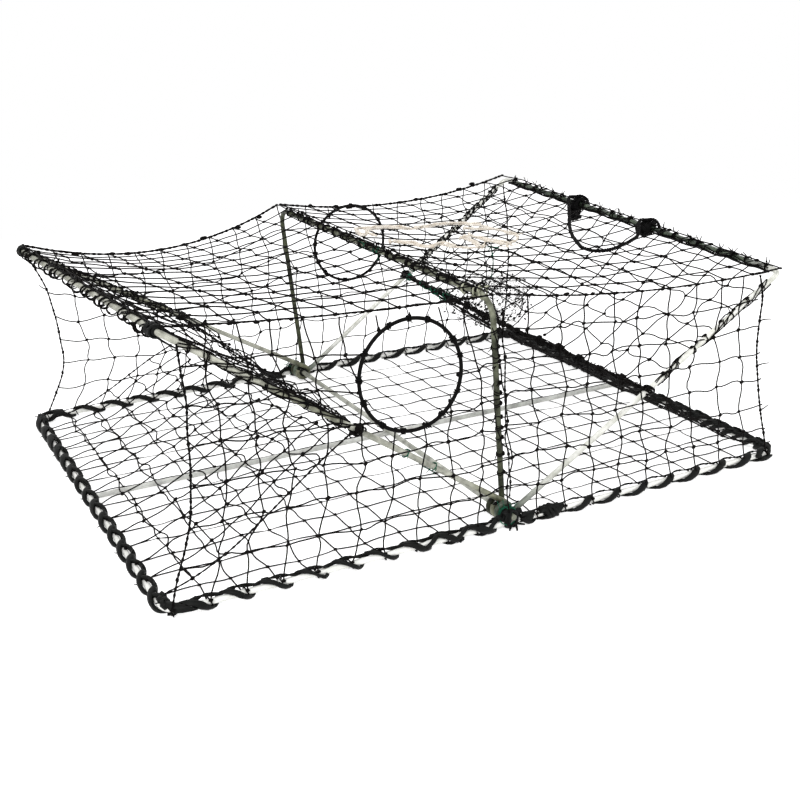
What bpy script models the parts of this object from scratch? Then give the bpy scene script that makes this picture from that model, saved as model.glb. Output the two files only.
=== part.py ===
"""Folding crab trap: a rod base, three hoops hinged across its middle, and nets hung on them.

Metres, +Z up. The origin is on the ground under the middle of the base, +X runs along its length,
and -Y is the near side. The trap rests on the rubber strip that is wound round the base rods.
"""
import math

import bmesh
import bpy
from mathutils import Matrix, Vector

mm = 0.001

# Driving dimensions
ROD = 4.0 * mm                    # radius of every frame rod, 5/16 inch steel
GAP = 0.3 * mm                    # between pieces that touch
BASE_LENGTH = 754.0 * mm          # between rod centres, 30 inch outside
BASE_WIDTH = 591.0 * mm
BASE_BEND = 20.0 * mm

BAIL_LEG = 435.0 * mm             # eye to crossbar
EYE_RADIUS = 8.4 * mm             # centre line of the bent eye round the hinge rod
EYE_SWEEP = 267                   # degrees of each eye

# The three hoops, near leg first and then far leg. angle is in degrees from +X: the taut netting
# springs the two legs apart. eye and bar are distances from the middle of the hinge rod.
HOOPS = {
    "arch": {"angle": (93.6, 95.4), "leg": (232 * mm, 240 * mm),
             "eye": (267 * mm, 281 * mm), "bar": (270 * mm, 279 * mm), "bend": 24 * mm},
    "left": {"angle": (145.4, 149.8), "leg": (BAIL_LEG, BAIL_LEG),
             "eye": (275.5 * mm, 264 * mm), "bar": (276 * mm, 276 * mm), "bend": 10 * mm},
    "right": {"angle": (29.8, 35.6), "leg": (BAIL_LEG, BAIL_LEG),
              "eye": (284 * mm, 272.5 * mm), "bar": (276 * mm, 276 * mm), "bend": 10 * mm},
}
NEAR, FAR = 0, 1

STRIP = 1.6 * mm                  # thickness of the rubber strip
STRIP_RUN = 12.6 * mm             # width of the strip along the rod
LONG_TURNS = 9
SHORT_TURNS = 14
WIND_STEPS = 8                    # points in each turn

RING_OUTSIDE = 116.0 * mm         # escape ring, 108 mm clear inside
RING_WIRE = 2.0 * mm
NEAR_RING = (-115.0 * mm, 186.0 * mm)   # place along X, height above the base rod
FAR_RING = (99.0 * mm, 183.0 * mm)
RING_PITCH = 57.0 * mm            # net lines beside a ring

TWINE = 2.4 * mm                  # width of a net bar, laid coarse
NET_DEPTH = 2.0 * mm
FLOOR_DEPTH = 1.0 * mm
SLIT_LEFT = 206.0 * mm            # hinge to the tied slit, along the bail's legs
SLIT_RIGHT = 216.0 * mm
LOW_CORNER = Vector((-17 * mm, 0, -40 * mm))   # far corner of the left lower ramp, below its slit knot
LACE = 1.5 * mm
ROPE = 2.7 * mm

# Derived places
TURN = math.tau / WIND_STEPS
STRIP_INNER = (ROD + GAP) / math.cos(TURN / 2)
STRIP_OUTER = STRIP_INNER + STRIP
BASE_Z = STRIP_OUTER * math.cos(TURN / 2)      # base rods stand on the flats of the strip
HALF_X = BASE_LENGTH / 2
HALF_Y = BASE_WIDTH / 2
HINGE_LIFT = 2 * ROD + 0.4 * mm
HINGE = Vector((0, 0, BASE_Z + HINGE_LIFT))
SIDE_Y = HALF_Y + 8.7 * mm                     # lower edge of a side net, outside the rod
SIDE_Z = BASE_Z + 3.0 * mm
SIDE_LEAN = 15.0 * mm                          # the side net leans in by this much
SIDE_TALL = 248.4 * mm                         # over this height


def clear_scene():
    for thing in list(bpy.data.objects):
        bpy.data.objects.remove(thing, do_unlink=True)


def finish(name, colour, roughness, metallic=0.0):
    made = bpy.data.materials.new(name)
    made.use_nodes = True
    shader = made.node_tree.nodes["Principled BSDF"]
    shader.inputs["Base Color"].default_value = (*colour, 1.0)
    shader.inputs["Roughness"].default_value = roughness
    shader.inputs["Metallic"].default_value = metallic
    return made


def hub(name, place):
    empty = bpy.data.objects.new(name, None)
    empty.location = place
    bpy.context.collection.objects.link(empty)
    return empty


def place(name, data, carrier, material):
    piece = bpy.data.objects.new(name, data)
    data.materials.append(material)
    piece.parent = carrier
    bpy.context.collection.objects.link(piece)
    return piece


def mesh_piece(name, shape, carrier, material, smooth=True):
    bmesh.ops.translate(shape, verts=shape.verts, vec=-carrier.location)
    bmesh.ops.recalc_face_normals(shape, faces=shape.faces)
    data = bpy.data.meshes.new(name)
    shape.to_mesh(data)
    shape.free()
    if smooth:
        data.shade_smooth()
        data.set_sharp_from_angle(angle=math.radians(50))
    return place(name, data, carrier, material)


def tube(name, points, radius, carrier, material, resolution=2, closed=False):
    data = bpy.data.curves.new(name, "CURVE")
    data.dimensions = "3D"
    data.resolution_u = 1
    data.bevel_depth = radius
    data.bevel_resolution = resolution
    data.use_fill_caps = not closed
    spline = data.splines.new("POLY")
    spline.points.add(len(points) - 1)
    for spot, point in zip(spline.points, points):
        spot.co = (*(Vector(point) - carrier.location), 1.0)
    spline.use_cyclic_u = closed
    return place(name, data, carrier, material)


def rounded(corners, radius, steps, closed=False):
    """Points of a path whose corners are bent to a radius."""
    count = len(corners)
    path = []
    for n, corner in enumerate(corners):
        if not closed and n in (0, count - 1):
            path.append(corner)
            continue
        back = (corners[n - 1] - corner).normalized()
        ahead = (corners[(n + 1) % count] - corner).normalized()
        half = back.angle(ahead) / 2
        centre = corner + (back + ahead).normalized() * radius / math.sin(half)
        start = corner + back * radius / math.tan(half) - centre
        spin = math.pi - 2 * half
        axis = back.cross(ahead).normalized()
        for step in range(steps + 1):
            path.append(centre + Matrix.Rotation(-spin * step / steps, 3, axis) @ start)
    return path


def smooth_route(spots, count):
    """Points evenly spread on a smooth curve through the given spots."""
    spots = [Vector(s) for s in spots]
    ends = [2 * spots[0] - spots[1]] + spots + [2 * spots[-1] - spots[-2]]
    fine = []
    for a, b, c, d in zip(ends, ends[1:], ends[2:], ends[3:]):
        for step in range(20):
            t = step / 20
            fine.append(0.5 * (2 * b + (c - a) * t + (2 * a - 5 * b + 4 * c - d) * t * t
                               + (3 * b - a - 3 * c + d) * t ** 3))
    fine.append(spots[-1])
    along = [0.0]
    for a, b in zip(fine, fine[1:]):
        along.append(along[-1] + (b - a).length)
    route, n = [], 0
    for step in range(count):
        goal = along[-1] * step / (count - 1)
        while n < len(fine) - 2 and along[n + 1] < goal:
            n += 1
        share = (goal - along[n]) / (along[n + 1] - along[n])
        route.append(fine[n].lerp(fine[n + 1], min(share, 1.0)))
    return route, along[-1]


def leg_point(hoop, end, reach):
    """A point of a hoop's straight leg, which starts level with the hinge at the side of its eye."""
    rod = HOOPS[hoop]
    turn = math.radians(rod["angle"][end])
    y = rod["eye"][end] + (rod["bar"][end] - rod["eye"][end]) * reach / rod["leg"][end]
    return HINGE + Vector((reach * math.cos(turn) + EYE_RADIUS * math.sin(turn), y if end else -y,
                           reach * math.sin(turn) - EYE_RADIUS * math.cos(turn)))


def crossbar(hoop):
    return [leg_point(hoop, end, HOOPS[hoop]["leg"][end]) for end in (NEAR, FAR)]


def eye_path(hoop, end):
    """The bent eye round the hinge rod, from its free end to where the straight leg begins."""
    rod = HOOPS[hoop]
    middle = HINGE + Vector((0, rod["eye"][end] if end else -rod["eye"][end], 0))
    path = []
    steps = 13
    for step in range(steps + 1):
        turn = math.radians(rod["angle"][end] - 90 + EYE_SWEEP * (step / steps - 1))
        path.append(middle + EYE_RADIUS * Vector((math.cos(turn), 0, math.sin(turn))))
    return path


def hoop_path(hoop):
    """Eye, leg, crossbar, leg and eye of one hoop, as one bent rod."""
    near = eye_path(hoop, NEAR)
    far = eye_path(hoop, FAR)[::-1]
    return near[:-1] + rounded([near[-1], *crossbar(hoop), far[0]], HOOPS[hoop]["bend"], 5) + far[1:]


def winding(name, start, end, turns, lowest, hand, carrier, material):
    """Rubber strip wound round a straight rod, with a flat of each turn level at the bottom."""
    run = end - start
    along = run.normalized()
    side = along.cross(Vector((0, 0, 1)))
    count = turns * WIND_STEPS
    shape = bmesh.new()
    rings = []
    for n in range(count):
        turn = lowest + hand * TURN * (n + 0.5)
        out = math.cos(turn) * side + math.sin(turn) * Vector((0, 0, 1))
        middle = start + run * (n + 0.5) / count
        rings.append([shape.verts.new(middle + along * shift * STRIP_RUN / 2 + out * radius)
                      for radius, shift in ((STRIP_INNER, -1), (STRIP_INNER, 1),
                                            (STRIP_OUTER, 1), (STRIP_OUTER, -1))])
    for a, b in zip(rings, rings[1:]):
        for n in range(4):
            shape.faces.new((a[n], a[(n + 1) % 4], b[(n + 1) % 4], b[n]))
    shape.faces.new(rings[0][::-1])
    shape.faces.new(rings[-1])
    gap = min((a.co - b.co).length
              for n, ring in enumerate(rings[:WIND_STEPS])
              for a in ring for b in rings[n + WIND_STEPS])
    print(f"{name}: {turns} turns, {gap / mm:.1f} mm between turns")
    return mesh_piece(name, shape, carrier, material, smooth=False)


def netting(name, grid, depth, carrier, material, holes=()):
    """A lattice of four-sided twine bars on a grid of junctions. holes are blocks of joined cells."""
    across, down = len(grid), len(grid[0])
    outside = (-1, -1)

    def cell(i, j):
        if not (0 <= i < across - 1 and 0 <= j < down - 1):
            return outside
        for low_i, low_j, high_i, high_j in holes:
            if low_i <= i < high_i and low_j <= j < high_j:
                return (low_i, low_j)
        return (i, j)

    shape = bmesh.new()
    ridge, edge = {}, {}
    for i in range(across):
        for j in range(down):
            here = grid[i][j]
            du = (grid[min(i + 1, across - 1)][j] - grid[max(i - 1, 0)][j]).normalized()
            dv = (grid[i][min(j + 1, down - 1)] - grid[i][max(j - 1, 0)]).normalized()
            normal = du.cross(dv).normalized() * depth / 2
            signs = ((1, 1), (-1, 1), (-1, -1), (1, -1))
            cells = [cell(i - (u < 0), j - (v < 0)) for u, v in signs]
            if len(set(cells)) == 1:
                continue
            ridge[i, j] = shape.verts.new(here + normal), shape.verts.new(here - normal)
            for kind in set(cells):
                mine = [s for s, c in zip(signs, cells) if c == kind]
                u = sum(s[0] for s in mine) / len(mine)
                v = sum(s[1] for s in mine) / len(mine)
                if len(mine) == 3:
                    u, v = 3 * u, 3 * v
                spot = shape.verts.new(here + (u * du + v * dv) * TWINE / 2)
                for s in mine:
                    edge[i, j, s] = spot
    for i in range(across):
        for j in range(down):
            for ahead, left, right in (((1, 0), 1, -1), ((0, 1), -1, 1)):
                k, m = i + ahead[0], j + ahead[1]
                if (k, m) not in ridge or (i, j) not in ridge:
                    continue
                if ahead[0]:
                    sides = [((1, s), (-1, s), cell(i, j - (s < 0))) for s in (left, right)]
                else:
                    sides = [((s, 1), (s, -1), cell(i - (s < 0), j)) for s in (left, right)]
                if sides[0][2] == sides[1][2]:
                    continue
                for near, far, _ in sides:
                    a, b = edge[i, j, near], edge[k, m, far]
                    for face in (0, 1):
                        shape.faces.new((ridge[i, j][face], a, b, ridge[k, m][face]))
    return mesh_piece(name, shape, carrier, material, smooth=False)


def turned(name, start, end, profile, carrier, material, sides=10):
    """A hollow piece turned round the line from start to end. profile holds (share, radius) pairs."""
    along = (end - start).normalized()
    helper = Vector((0, 0, 1)) if abs(along.z) < 0.9 else Vector((1, 0, 0))
    out = along.cross(helper).normalized()
    shape = bmesh.new()
    verts = [shape.verts.new(start + (end - start) * share + out * radius) for share, radius in profile]
    edges = [shape.edges.new((a, b)) for a, b in zip(verts, verts[1:] + verts[:1])]
    bmesh.ops.spin(shape, geom=verts + edges, cent=start, axis=along, angle=math.tau,
                   steps=sides, use_merge=True)
    bmesh.ops.remove_doubles(shape, verts=shape.verts, dist=0.01 * mm)
    return mesh_piece(name, shape, carrier, material)


def knot_on(name, centre, along, inner, outer, length, carrier, material):
    ends = [centre - along * length / 2, centre + along * length / 2]
    middle = (inner + outer) / 2
    profile = [(0, inner), (0, middle), (0.22, outer), (0.5, outer * 0.94), (0.78, outer),
               (1, middle), (1, inner)]
    return turned(name, *ends, profile, carrier, material)


def lump(name, centre, size, carrier, material):
    shape = bmesh.new()
    bmesh.ops.create_icosphere(shape, subdivisions=2, radius=1.0)
    for spot in shape.verts:
        swell = 1 + 0.1 * math.sin(4 * spot.co.x + 1) * math.cos(5 * spot.co.y)
        spot.co = Vector((spot.co.x * size[0], spot.co.y * size[1], spot.co.z * size[2])) * swell + centre
    return mesh_piece(name, shape, carrier, material)


def base_frame(carrier, zinc):
    corners = [Vector((x, y, BASE_Z)) for x, y in
               ((-HALF_X, -HALF_Y), (HALF_X, -HALF_Y), (HALF_X, HALF_Y), (-HALF_X, HALF_Y))]
    tube("base_frame", rounded(corners, BASE_BEND, 5, closed=True), ROD, carrier, zinc, closed=True)
    reach = HALF_X - ROD - 0.4 * mm
    tube("long_brace", [(-reach, 0, BASE_Z), (reach, 0, BASE_Z)], ROD, carrier, zinc)
    reach = HALF_Y + ROD
    tube("hinge_rod", [HINGE - Vector((0, reach, 0)), HINGE + Vector((0, reach, 0))], ROD, carrier, zinc)


def rubber(carrier, material):
    start, end = 15.0 * mm, 345.0 * mm
    for side, y in (("near", -HALF_Y), ("far", HALF_Y)):
        for half, sign in (("left", -1), ("right", 1)):
            winding(f"{side}_strip_{half}", Vector((sign * start, y, BASE_Z)),
                    Vector((sign * end, y, BASE_Z)), LONG_TURNS, 0.0, sign, carrier, material)
    for side, x in (("left", -HALF_X), ("right", HALF_X)):
        winding(f"{side}_strip", Vector((x, -255 * mm, BASE_Z)), Vector((x, 255 * mm, BASE_Z)),
                SHORT_TURNS, math.pi if side == "left" else 0.0, 1, carrier, material)
    for side, y in (("near", -HALF_Y), ("far", HALF_Y)):
        pivot_binding(f"{side}_pivot_binding", y, carrier, material)


def pivot_binding(name, y, carrier, material):
    """A rubber band pulled slantwise under the base rod and over the hinge rod."""
    inner = 0.3 * mm
    outer = 1.5 * mm
    width = 3.0 * mm
    slant = Vector((1, 1 if y < 0 else -1, 0)).normalized()
    across = Vector((-slant.y, slant.x, 0))
    half = ROD * math.sqrt(2) + width / 2
    low, high = BASE_Z - ROD, HINGE.z + ROD
    shape = bmesh.new()
    rings = []
    corner = 2.0 * mm
    for sign_x, sign_z, first in ((1, -1, 270), (1, 1, 0), (-1, 1, 90), (-1, -1, 180)):
        for step in range(3):
            turn = math.radians(first + 45 * step)
            middle = Vector((0, y, high - corner if sign_z > 0 else low + corner))
            middle += slant * sign_x * (half - corner)
            out = slant * math.cos(turn) + Vector((0, 0, math.sin(turn)))
            rings.append([shape.verts.new(middle + out * (corner + lift) + across * width * shift)
                          for lift, shift in ((inner, -0.5), (inner, 0.5), (outer, 0.5), (outer, -0.5))])
    for a, b in zip(rings, rings[1:] + rings[:1]):
        for n in range(4):
            shape.faces.new((a[n], a[(n + 1) % 4], b[(n + 1) % 4], b[n]))
    mesh_piece(name, shape, carrier, material)


def hoops(hubs, zinc, twine):
    for hoop, name, sleeve in (("arch", "center_arch", "arch_lashing"),
                               ("left", "left_bail", "left_bail_lashing"),
                               ("right", "right_bail", "right_bail_lashing")):
        tube(name, hoop_path(hoop), ROD, hubs[hoop], zinc)
        a, b = crossbar(hoop)
        trim = (HOOPS[hoop]["bend"] + 3 * mm) / (b - a).length
        profile = [(0, ROD + 0.45 * mm), (0, ROD + 1.2 * mm), (0.01, ROD + 1.6 * mm),
                   (0.99, ROD + 1.6 * mm), (1, ROD + 1.2 * mm), (1, ROD + 0.45 * mm)]
        turned(sleeve, a.lerp(b, trim), b.lerp(a, trim), profile, hubs[hoop], twine, sides=8)


def escape_rings(hubs, wire):
    for name, (x, height), side, carrier in (("near_escape_ring", NEAR_RING, -1, hubs["near"]),
                                             ("far_escape_ring", FAR_RING, 1, hubs["far"])):
        z = BASE_Z + height
        y = side * (side_net_y(z) + NET_DEPTH / 2 + RING_WIRE + 0.4 * mm)
        tilt = SIDE_LEAN / SIDE_TALL
        radius = RING_OUTSIDE / 2 - RING_WIRE
        count = 28
        path = [Vector((x + radius * math.cos(math.tau * n / count),
                        y - side * tilt * radius * math.sin(math.tau * n / count),
                        z + radius * math.sin(math.tau * n / count))) for n in range(count)]
        tube(name, path, RING_WIRE, carrier, wire, resolution=1, closed=True)


def side_net_y(z):
    return SIDE_Y - SIDE_LEAN * (z - SIDE_Z) / SIDE_TALL


def bow(t, ends):
    """A quadratic from the bottom value through the middle one to the top one."""
    bottom, middle, top = ends
    return bottom * (1 - t) * (1 - 2 * t) + middle * 4 * t * (1 - t) + top * t * (2 * t - 1)


SELVAGE = {                       # place along X of each corner cord: bottom, middle, top
    ("near", "left"): (-368 * mm, -338 * mm, -342 * mm),
    ("near", "right"): (361 * mm, 346 * mm, 342 * mm),
    ("far", "left"): (-353 * mm, -337 * mm, -362 * mm),
    ("far", "right"): (370 * mm, 372 * mm, 360 * mm),
}
ROOF_SAG = {("left", "near"): 7 * mm, ("left", "far"): 33 * mm,
            ("right", "near"): 14 * mm, ("right", "far"): 18 * mm}
ROOF_HALF = 270.0 * mm


def on_bar(hoop, y):
    """The point of a hoop's crossbar at this distance along Y."""
    a, b = crossbar(hoop)
    return a.lerp(b, (y - a.y) / (b.y - a.y))


def roof_point(side, u, v):
    """A point of a roof net: u from the bail to the arch, v from the near edge to the far one."""
    sign = -1 if side == "left" else 1
    y = ROOF_HALF * (2 * v - 1)
    bar = on_bar(side, y) + Vector((-sign * 3 * mm, 0, 6.9 * mm))
    top = on_bar("arch", y) + Vector((sign * 3.2 * mm, 0, 6.9 * mm))
    sag = ROOF_SAG[side, "near"] * (1 - v) + ROOF_SAG[side, "far"] * v
    return bar.lerp(top, u) - Vector((0, 0, sag * 4 * u * (1 - u)))


def roof_height(x, y):
    """Height of the right roof net at a place."""
    v = (y + ROOF_HALF) / (2 * ROOF_HALF)
    bar, top = roof_point("right", 0, v), roof_point("right", 1, v)
    return roof_point("right", (bar.x - x) / (bar.x - top.x), v).z


def seam_height(v, x):
    """Height where a side net's upper edge runs, under the edge of the roof."""
    side = "left" if x < on_bar("arch", 0).x else "right"
    bar, top = roof_point(side, 0, v), roof_point(side, 1, v)
    u = min(max((bar.x - x) / (bar.x - top.x), 0), 1)
    return roof_point(side, u, v).z - 10 * mm


def side_net(name, side, ring, hubs, twine):
    sign = -1 if side == "near" else 1
    first, last = (-3, 7) if side == "near" else (-7, 3)
    lines = [None] + [ring[0] + RING_PITCH * n for n in range(first, last + 1)] + [None]
    column = 1 - first
    heights = [SIDE_Z] + [BASE_Z + ring[1] + RING_PITCH * n for n in (-2, -1, 0)] + [None]
    grid = []
    for i, x in enumerate(lines):
        post = []
        for j, z in enumerate(heights):
            t = j / (len(heights) - 1)
            corner = "left" if i == 0 else "right"
            inward = 5 * mm if i == 0 else -5 * mm
            at = x if x is not None else bow(t, SELVAGE[side, corner]) + inward
            top = seam_height(0 if side == "near" else 1, at)
            if z is None:
                height = top
            elif x is None:
                height = SIDE_Z + (top - SIDE_Z) * t
            else:
                height = z
            post.append(Vector((at, sign * side_net_y(height), height)))
        grid.append(post)
    hole = (column - 1, 2, column + 1, 4)
    netting(name, grid, NET_DEPTH, hubs[side], twine, holes=[hole])


def lattice(across, down, point):
    return [[point(i / across, j / down) for j in range(down + 1)] for i in range(across + 1)]


def between_legs(hoop, reach, half, v):
    """A point between the two legs of a bail: v from the near edge to the far one."""
    near, far = leg_point(hoop, NEAR, reach), leg_point(hoop, FAR, reach)
    near.y, far.y = -half, half
    return near.lerp(far, v)


def entrances(hubs, twine):
    """The slanted nets of each end: one in the plane of the bail, and one up from the base."""
    for side, slit, sign, low in (("left", SLIT_LEFT, -1, LOW_CORNER), ("right", SLIT_RIGHT, 1, Vector())):
        def upper(u, v):
            reach = (BAIL_LEG - 7.8 * mm) * (1 - u) + (slit + 8 * mm) * u
            return between_legs(side, reach, 262 * mm, v)

        def lower(u, v):
            lip = between_legs(side, slit, 262 * mm, v) + low * v * v
            lip += Vector((sign * 3 * mm, 0, -6 * mm - 12 * mm * 4 * v * (1 - v)))
            foot = Vector((sign * HALF_X, 258 * mm * (2 * v - 1), BASE_Z + 8.2 * mm))
            return foot.lerp(lip, u)

        netting(f"{side}_upper_ramp", lattice(3, 6, upper), NET_DEPTH, hubs[side], twine)
        netting(f"{side}_lower_ramp", lattice(3, 6, lower), NET_DEPTH, hubs["base"], twine)
        ends = []
        for end, tag, way in ((NEAR, "near", -1), (FAR, "far", 1)):
            spot = leg_point(side, end, slit)
            along = (leg_point(side, end, BAIL_LEG) - spot).normalized()
            knot_on(f"{side}_{tag}_slit_knot", spot, along, ROD + 0.45 * mm, 6.5 * mm, 13 * mm,
                    hubs[side], twine)
            ends.append(spot - Vector((0, way * 7.0 * mm, 0)))
        tube(f"{side}_slit_cord", [ends[0].lerp(ends[1], n / 8) for n in range(9)], 2 * mm,
             hubs[side], twine, resolution=1)


def selvages(hubs, twine):
    for (side, end), ends in SELVAGE.items():
        sign = -1 if side == "near" else 1
        top = crossbar(end)[NEAR if side == "near" else FAR].z - 10 * mm
        route = [Vector((bow(0, ends) * 1.01, sign * (HALF_Y - 5 * mm), BASE_Z + ROD + 0.5 * mm)),
                 Vector((bow(0.06, ends), sign * (HALF_Y - 3 * mm), BASE_Z + 20 * mm))]
        for t in (0.2, 0.4, 0.6, 0.8):
            z = SIDE_Z + (top - SIDE_Z) * t
            route.append(Vector((bow(t, ends), sign * side_net_y(z), z)))
        route.append(Vector((bow(1, ends), sign * 283 * mm, top)))
        points, _ = smooth_route(route, 12)
        tube(f"{side}_{end}_corner_cord", points, 1.5 * mm, hubs["base"], twine, resolution=1)


LACE_ROUTE = ((10, 24), (9, 50), (22, 73), (39, 82), (60, 90), (85, 80), (100, 84), (120, 90), (141, 97),
              (165, 92), (186, 72), (192, 48), (199, 4), (184, -22), (157, -34), (147, 0), (141, 22),
              (128, 16), (126, -6), (118, -42), (88, -39), (72, -20), (54, -38), (40, -38), (34, -20), (14, -15))
ROPE_ROUTE = ((318, 52), (283, 2), (260, -34), (243, -68), (231, -98), (234, -118), (252, -124),
              (285, -113), (318, -95))


def roof_fittings(hubs, cotton, rope, green, bag):
    """The cotton lacing, the lifting loop and the bait bag, all on the right half of the roof."""
    def on_roof(x, y, lift):
        return Vector((x * mm, y * mm, roof_height(x * mm, y * mm) + lift))

    route = [on_roof(x, y, NET_DEPTH / 2 + LACE + 1.0 * mm) for x, y in LACE_ROUTE]
    points, length = smooth_route(route, 44)
    tube("roof_lacing", points, LACE, hubs["right"], cotton, resolution=1)
    print(f"roof_lacing: {length / mm:.0f} mm long")

    ends = []
    for name, y in (("lift_knot_far", 97 * mm), ("lift_knot_near", -51 * mm)):
        bar = on_bar("right", y)
        lump(name, bar + Vector((7.8 * mm, 0, -14 * mm)), (9 * mm, 14 * mm, 9 * mm), hubs["right"], rope)
        ends.append([bar + Vector((x * mm, -2 * mm, z * mm))
                     for x, z in ((17, -4.5), (13, 5), (4, 10.4), (-6, 11), (-18, 10.5))])
    route = ends[0]
    route += [on_roof(x, y, NET_DEPTH / 2 + ROPE + 1.0 * mm) for x, y in ROPE_ROUTE]
    route += ends[1][::-1]
    points, length = smooth_route(route, 36)
    tube("lift_rope", points, ROPE, hubs["right"], rope, resolution=2)
    print(f"lift_rope: {length / mm:.0f} mm long")

    centre = Vector((148 * mm, -20 * mm, BASE_Z + 160 * mm))
    lump("bait_bag", centre, (54 * mm, 44 * mm, 26 * mm), hubs["right"], bag)
    top = centre + Vector((0, 0, 29.5 * mm))
    under = on_roof(148, -20, -NET_DEPTH / 2 - 1.2 * mm)
    points, _ = smooth_route([top, top.lerp(under, 0.5) + Vector((3 * mm, 0, 0)), under], 6)
    tube("bait_bag_tie", points, LACE, hubs["right"], green, resolution=1)


def main():
    clear_scene()
    zinc = finish("galvanised steel", (0.62, 0.63, 0.58), 0.38, 0.85)
    black = finish("inner tube rubber", (0.012, 0.012, 0.013), 0.62)
    twine = finish("tarred nylon twine", (0.016, 0.015, 0.015), 0.75)
    wire = finish("black coated wire", (0.014, 0.014, 0.015), 0.45)
    cotton = finish("raw cotton cord", (0.72, 0.62, 0.54), 0.9)
    rope = finish("black braided rope", (0.018, 0.017, 0.018), 0.7)
    green = finish("green poly twine", (0.02, 0.22, 0.14), 0.55)
    bag = finish("fine bait mesh", (0.03, 0.03, 0.03), 0.8)
    hubs = {
        "base": hub("base", (0, 0, 0)),
        "arch": hub("arch_hinge", HINGE),
        "left": hub("left_bail_hinge", HINGE),
        "right": hub("right_bail_hinge", HINGE),
        "near": hub("near_side_hinge", (0, -SIDE_Y, SIDE_Z)),
        "far": hub("far_side_hinge", (0, SIDE_Y, SIDE_Z)),
    }
    base_frame(hubs["base"], zinc)
    rubber(hubs["base"], black)
    hoops(hubs, zinc, twine)
    escape_rings(hubs, wire)
    inner_x, inner_y = HALF_X - 8.4 * mm, HALF_Y - 8.4 * mm
    floor_z = BASE_Z - ROD - 0.3 * mm - FLOOR_DEPTH / 2
    floor = lattice(7, 5, lambda u, v: Vector((inner_x * (2 * u - 1), inner_y * (2 * v - 1), floor_z)))
    netting("floor_net", floor, FLOOR_DEPTH, hubs["base"], twine)
    for side in ("left", "right"):
        roof = lattice(4, 6, lambda u, v: roof_point(side, u, v))
        netting(f"{side}_roof_net", roof, NET_DEPTH, hubs["base"], twine)
    side_net("near_side_net", "near", NEAR_RING, hubs, twine)
    side_net("far_side_net", "far", FAR_RING, hubs, twine)
    entrances(hubs, twine)
    selvages(hubs, twine)
    roof_fittings(hubs, cotton, rope, green, bag)


main()
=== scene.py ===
import bpy
import numpy as np
from math import atan2, copysign, cos, hypot, pi, radians, sin, tan, tau
from mathutils import Matrix, Vector


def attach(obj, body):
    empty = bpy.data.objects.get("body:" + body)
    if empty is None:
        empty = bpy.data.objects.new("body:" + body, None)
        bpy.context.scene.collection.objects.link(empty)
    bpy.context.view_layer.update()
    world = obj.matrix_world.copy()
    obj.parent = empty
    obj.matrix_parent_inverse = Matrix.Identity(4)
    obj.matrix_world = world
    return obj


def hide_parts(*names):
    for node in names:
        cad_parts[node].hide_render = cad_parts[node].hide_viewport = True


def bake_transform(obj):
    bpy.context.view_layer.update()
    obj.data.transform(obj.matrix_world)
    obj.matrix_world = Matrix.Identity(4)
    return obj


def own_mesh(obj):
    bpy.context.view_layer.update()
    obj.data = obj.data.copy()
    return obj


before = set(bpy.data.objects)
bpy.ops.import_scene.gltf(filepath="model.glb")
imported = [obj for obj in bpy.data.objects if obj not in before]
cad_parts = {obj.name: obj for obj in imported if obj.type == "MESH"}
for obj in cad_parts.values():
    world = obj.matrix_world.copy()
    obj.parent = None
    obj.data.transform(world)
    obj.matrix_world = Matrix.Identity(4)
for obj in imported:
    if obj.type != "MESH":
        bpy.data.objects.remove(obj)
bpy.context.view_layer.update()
scene = bpy.context.scene
mm = 0.001
print("frame loaded")

# Camera, where the photograph was taken from
photoView = {"place": (-0.6027, -1.2234, 0.5474), "turn": (70.008, 1.439, -27.650), "lens": 51.463}
cameraData = bpy.data.cameras.new("photoCamera")
cameraData.lens = photoView["lens"]
cameraData.sensor_width = 36
cameraData.clip_start = 0.02
camera = bpy.data.objects.new("photoCamera", cameraData)
camera.location = photoView["place"]
camera.rotation_euler = [radians(turn) for turn in photoView["turn"]]
scene.collection.objects.link(camera)
scene.camera = camera
print("camera placed")


# Helpers for lines; every shape is worked out in mm, and turned into metres as its piece is made

def at(x, y, z):
    return np.array([x, y, z], float)


up = at(0, 0, 1)


def unit(way):
    way = np.asarray(way, float)
    return way / np.linalg.norm(way)


def between(a, b, share):
    return np.asarray(a) * (1 - share) + np.asarray(b) * share


def metres(spot):
    return tuple(float(c) * mm for c in spot)


def swung(turn, a, b):
    # turned from a towards b
    turn = np.asarray(turn)[..., None]
    return np.cos(turn) * a + np.sin(turn) * b


def directions(points, closed=False):
    way = np.roll(points, -1, 0) - np.roll(points, 1, 0) if closed else np.gradient(points, axis=0)
    return way / np.maximum(np.linalg.norm(way, axis=1, keepdims=True), 1e-9)


def squareAxes(points, closed=False):
    # two axes square to the line at each point, carried along it without twisting
    way = directions(points, closed)
    first = [unit(np.cross(way[0], (0.31, 0.17, 0.93)))]
    for step in way[1:]:
        first.append(unit(first[-1] - step * np.dot(first[-1], step)))
    first = np.array(first)
    if closed:
        drift = atan2(np.dot(np.cross(first[-1], first[0]), way[0]), np.dot(first[-1], first[0]))
        first = swung(drift * np.arange(len(way)) / len(way), first, np.cross(way, first))
    return first, np.cross(way, first)


def distances(points):
    # how far along its line each point lies
    return np.concatenate([[0], np.cumsum(np.linalg.norm(np.diff(points, axis=0), axis=1))])


def placesAt(goal, along, points):
    return np.stack([np.interp(goal, along, points[:, k]) for k in range(3)], -1)


def evenLine(points, step):
    # the same line with a point in every step
    points = np.asarray(points, float)
    along = distances(points)
    return placesAt(np.linspace(0, along[-1], max(2, int(round(along[-1] / step)) + 1)), along, points)


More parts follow.
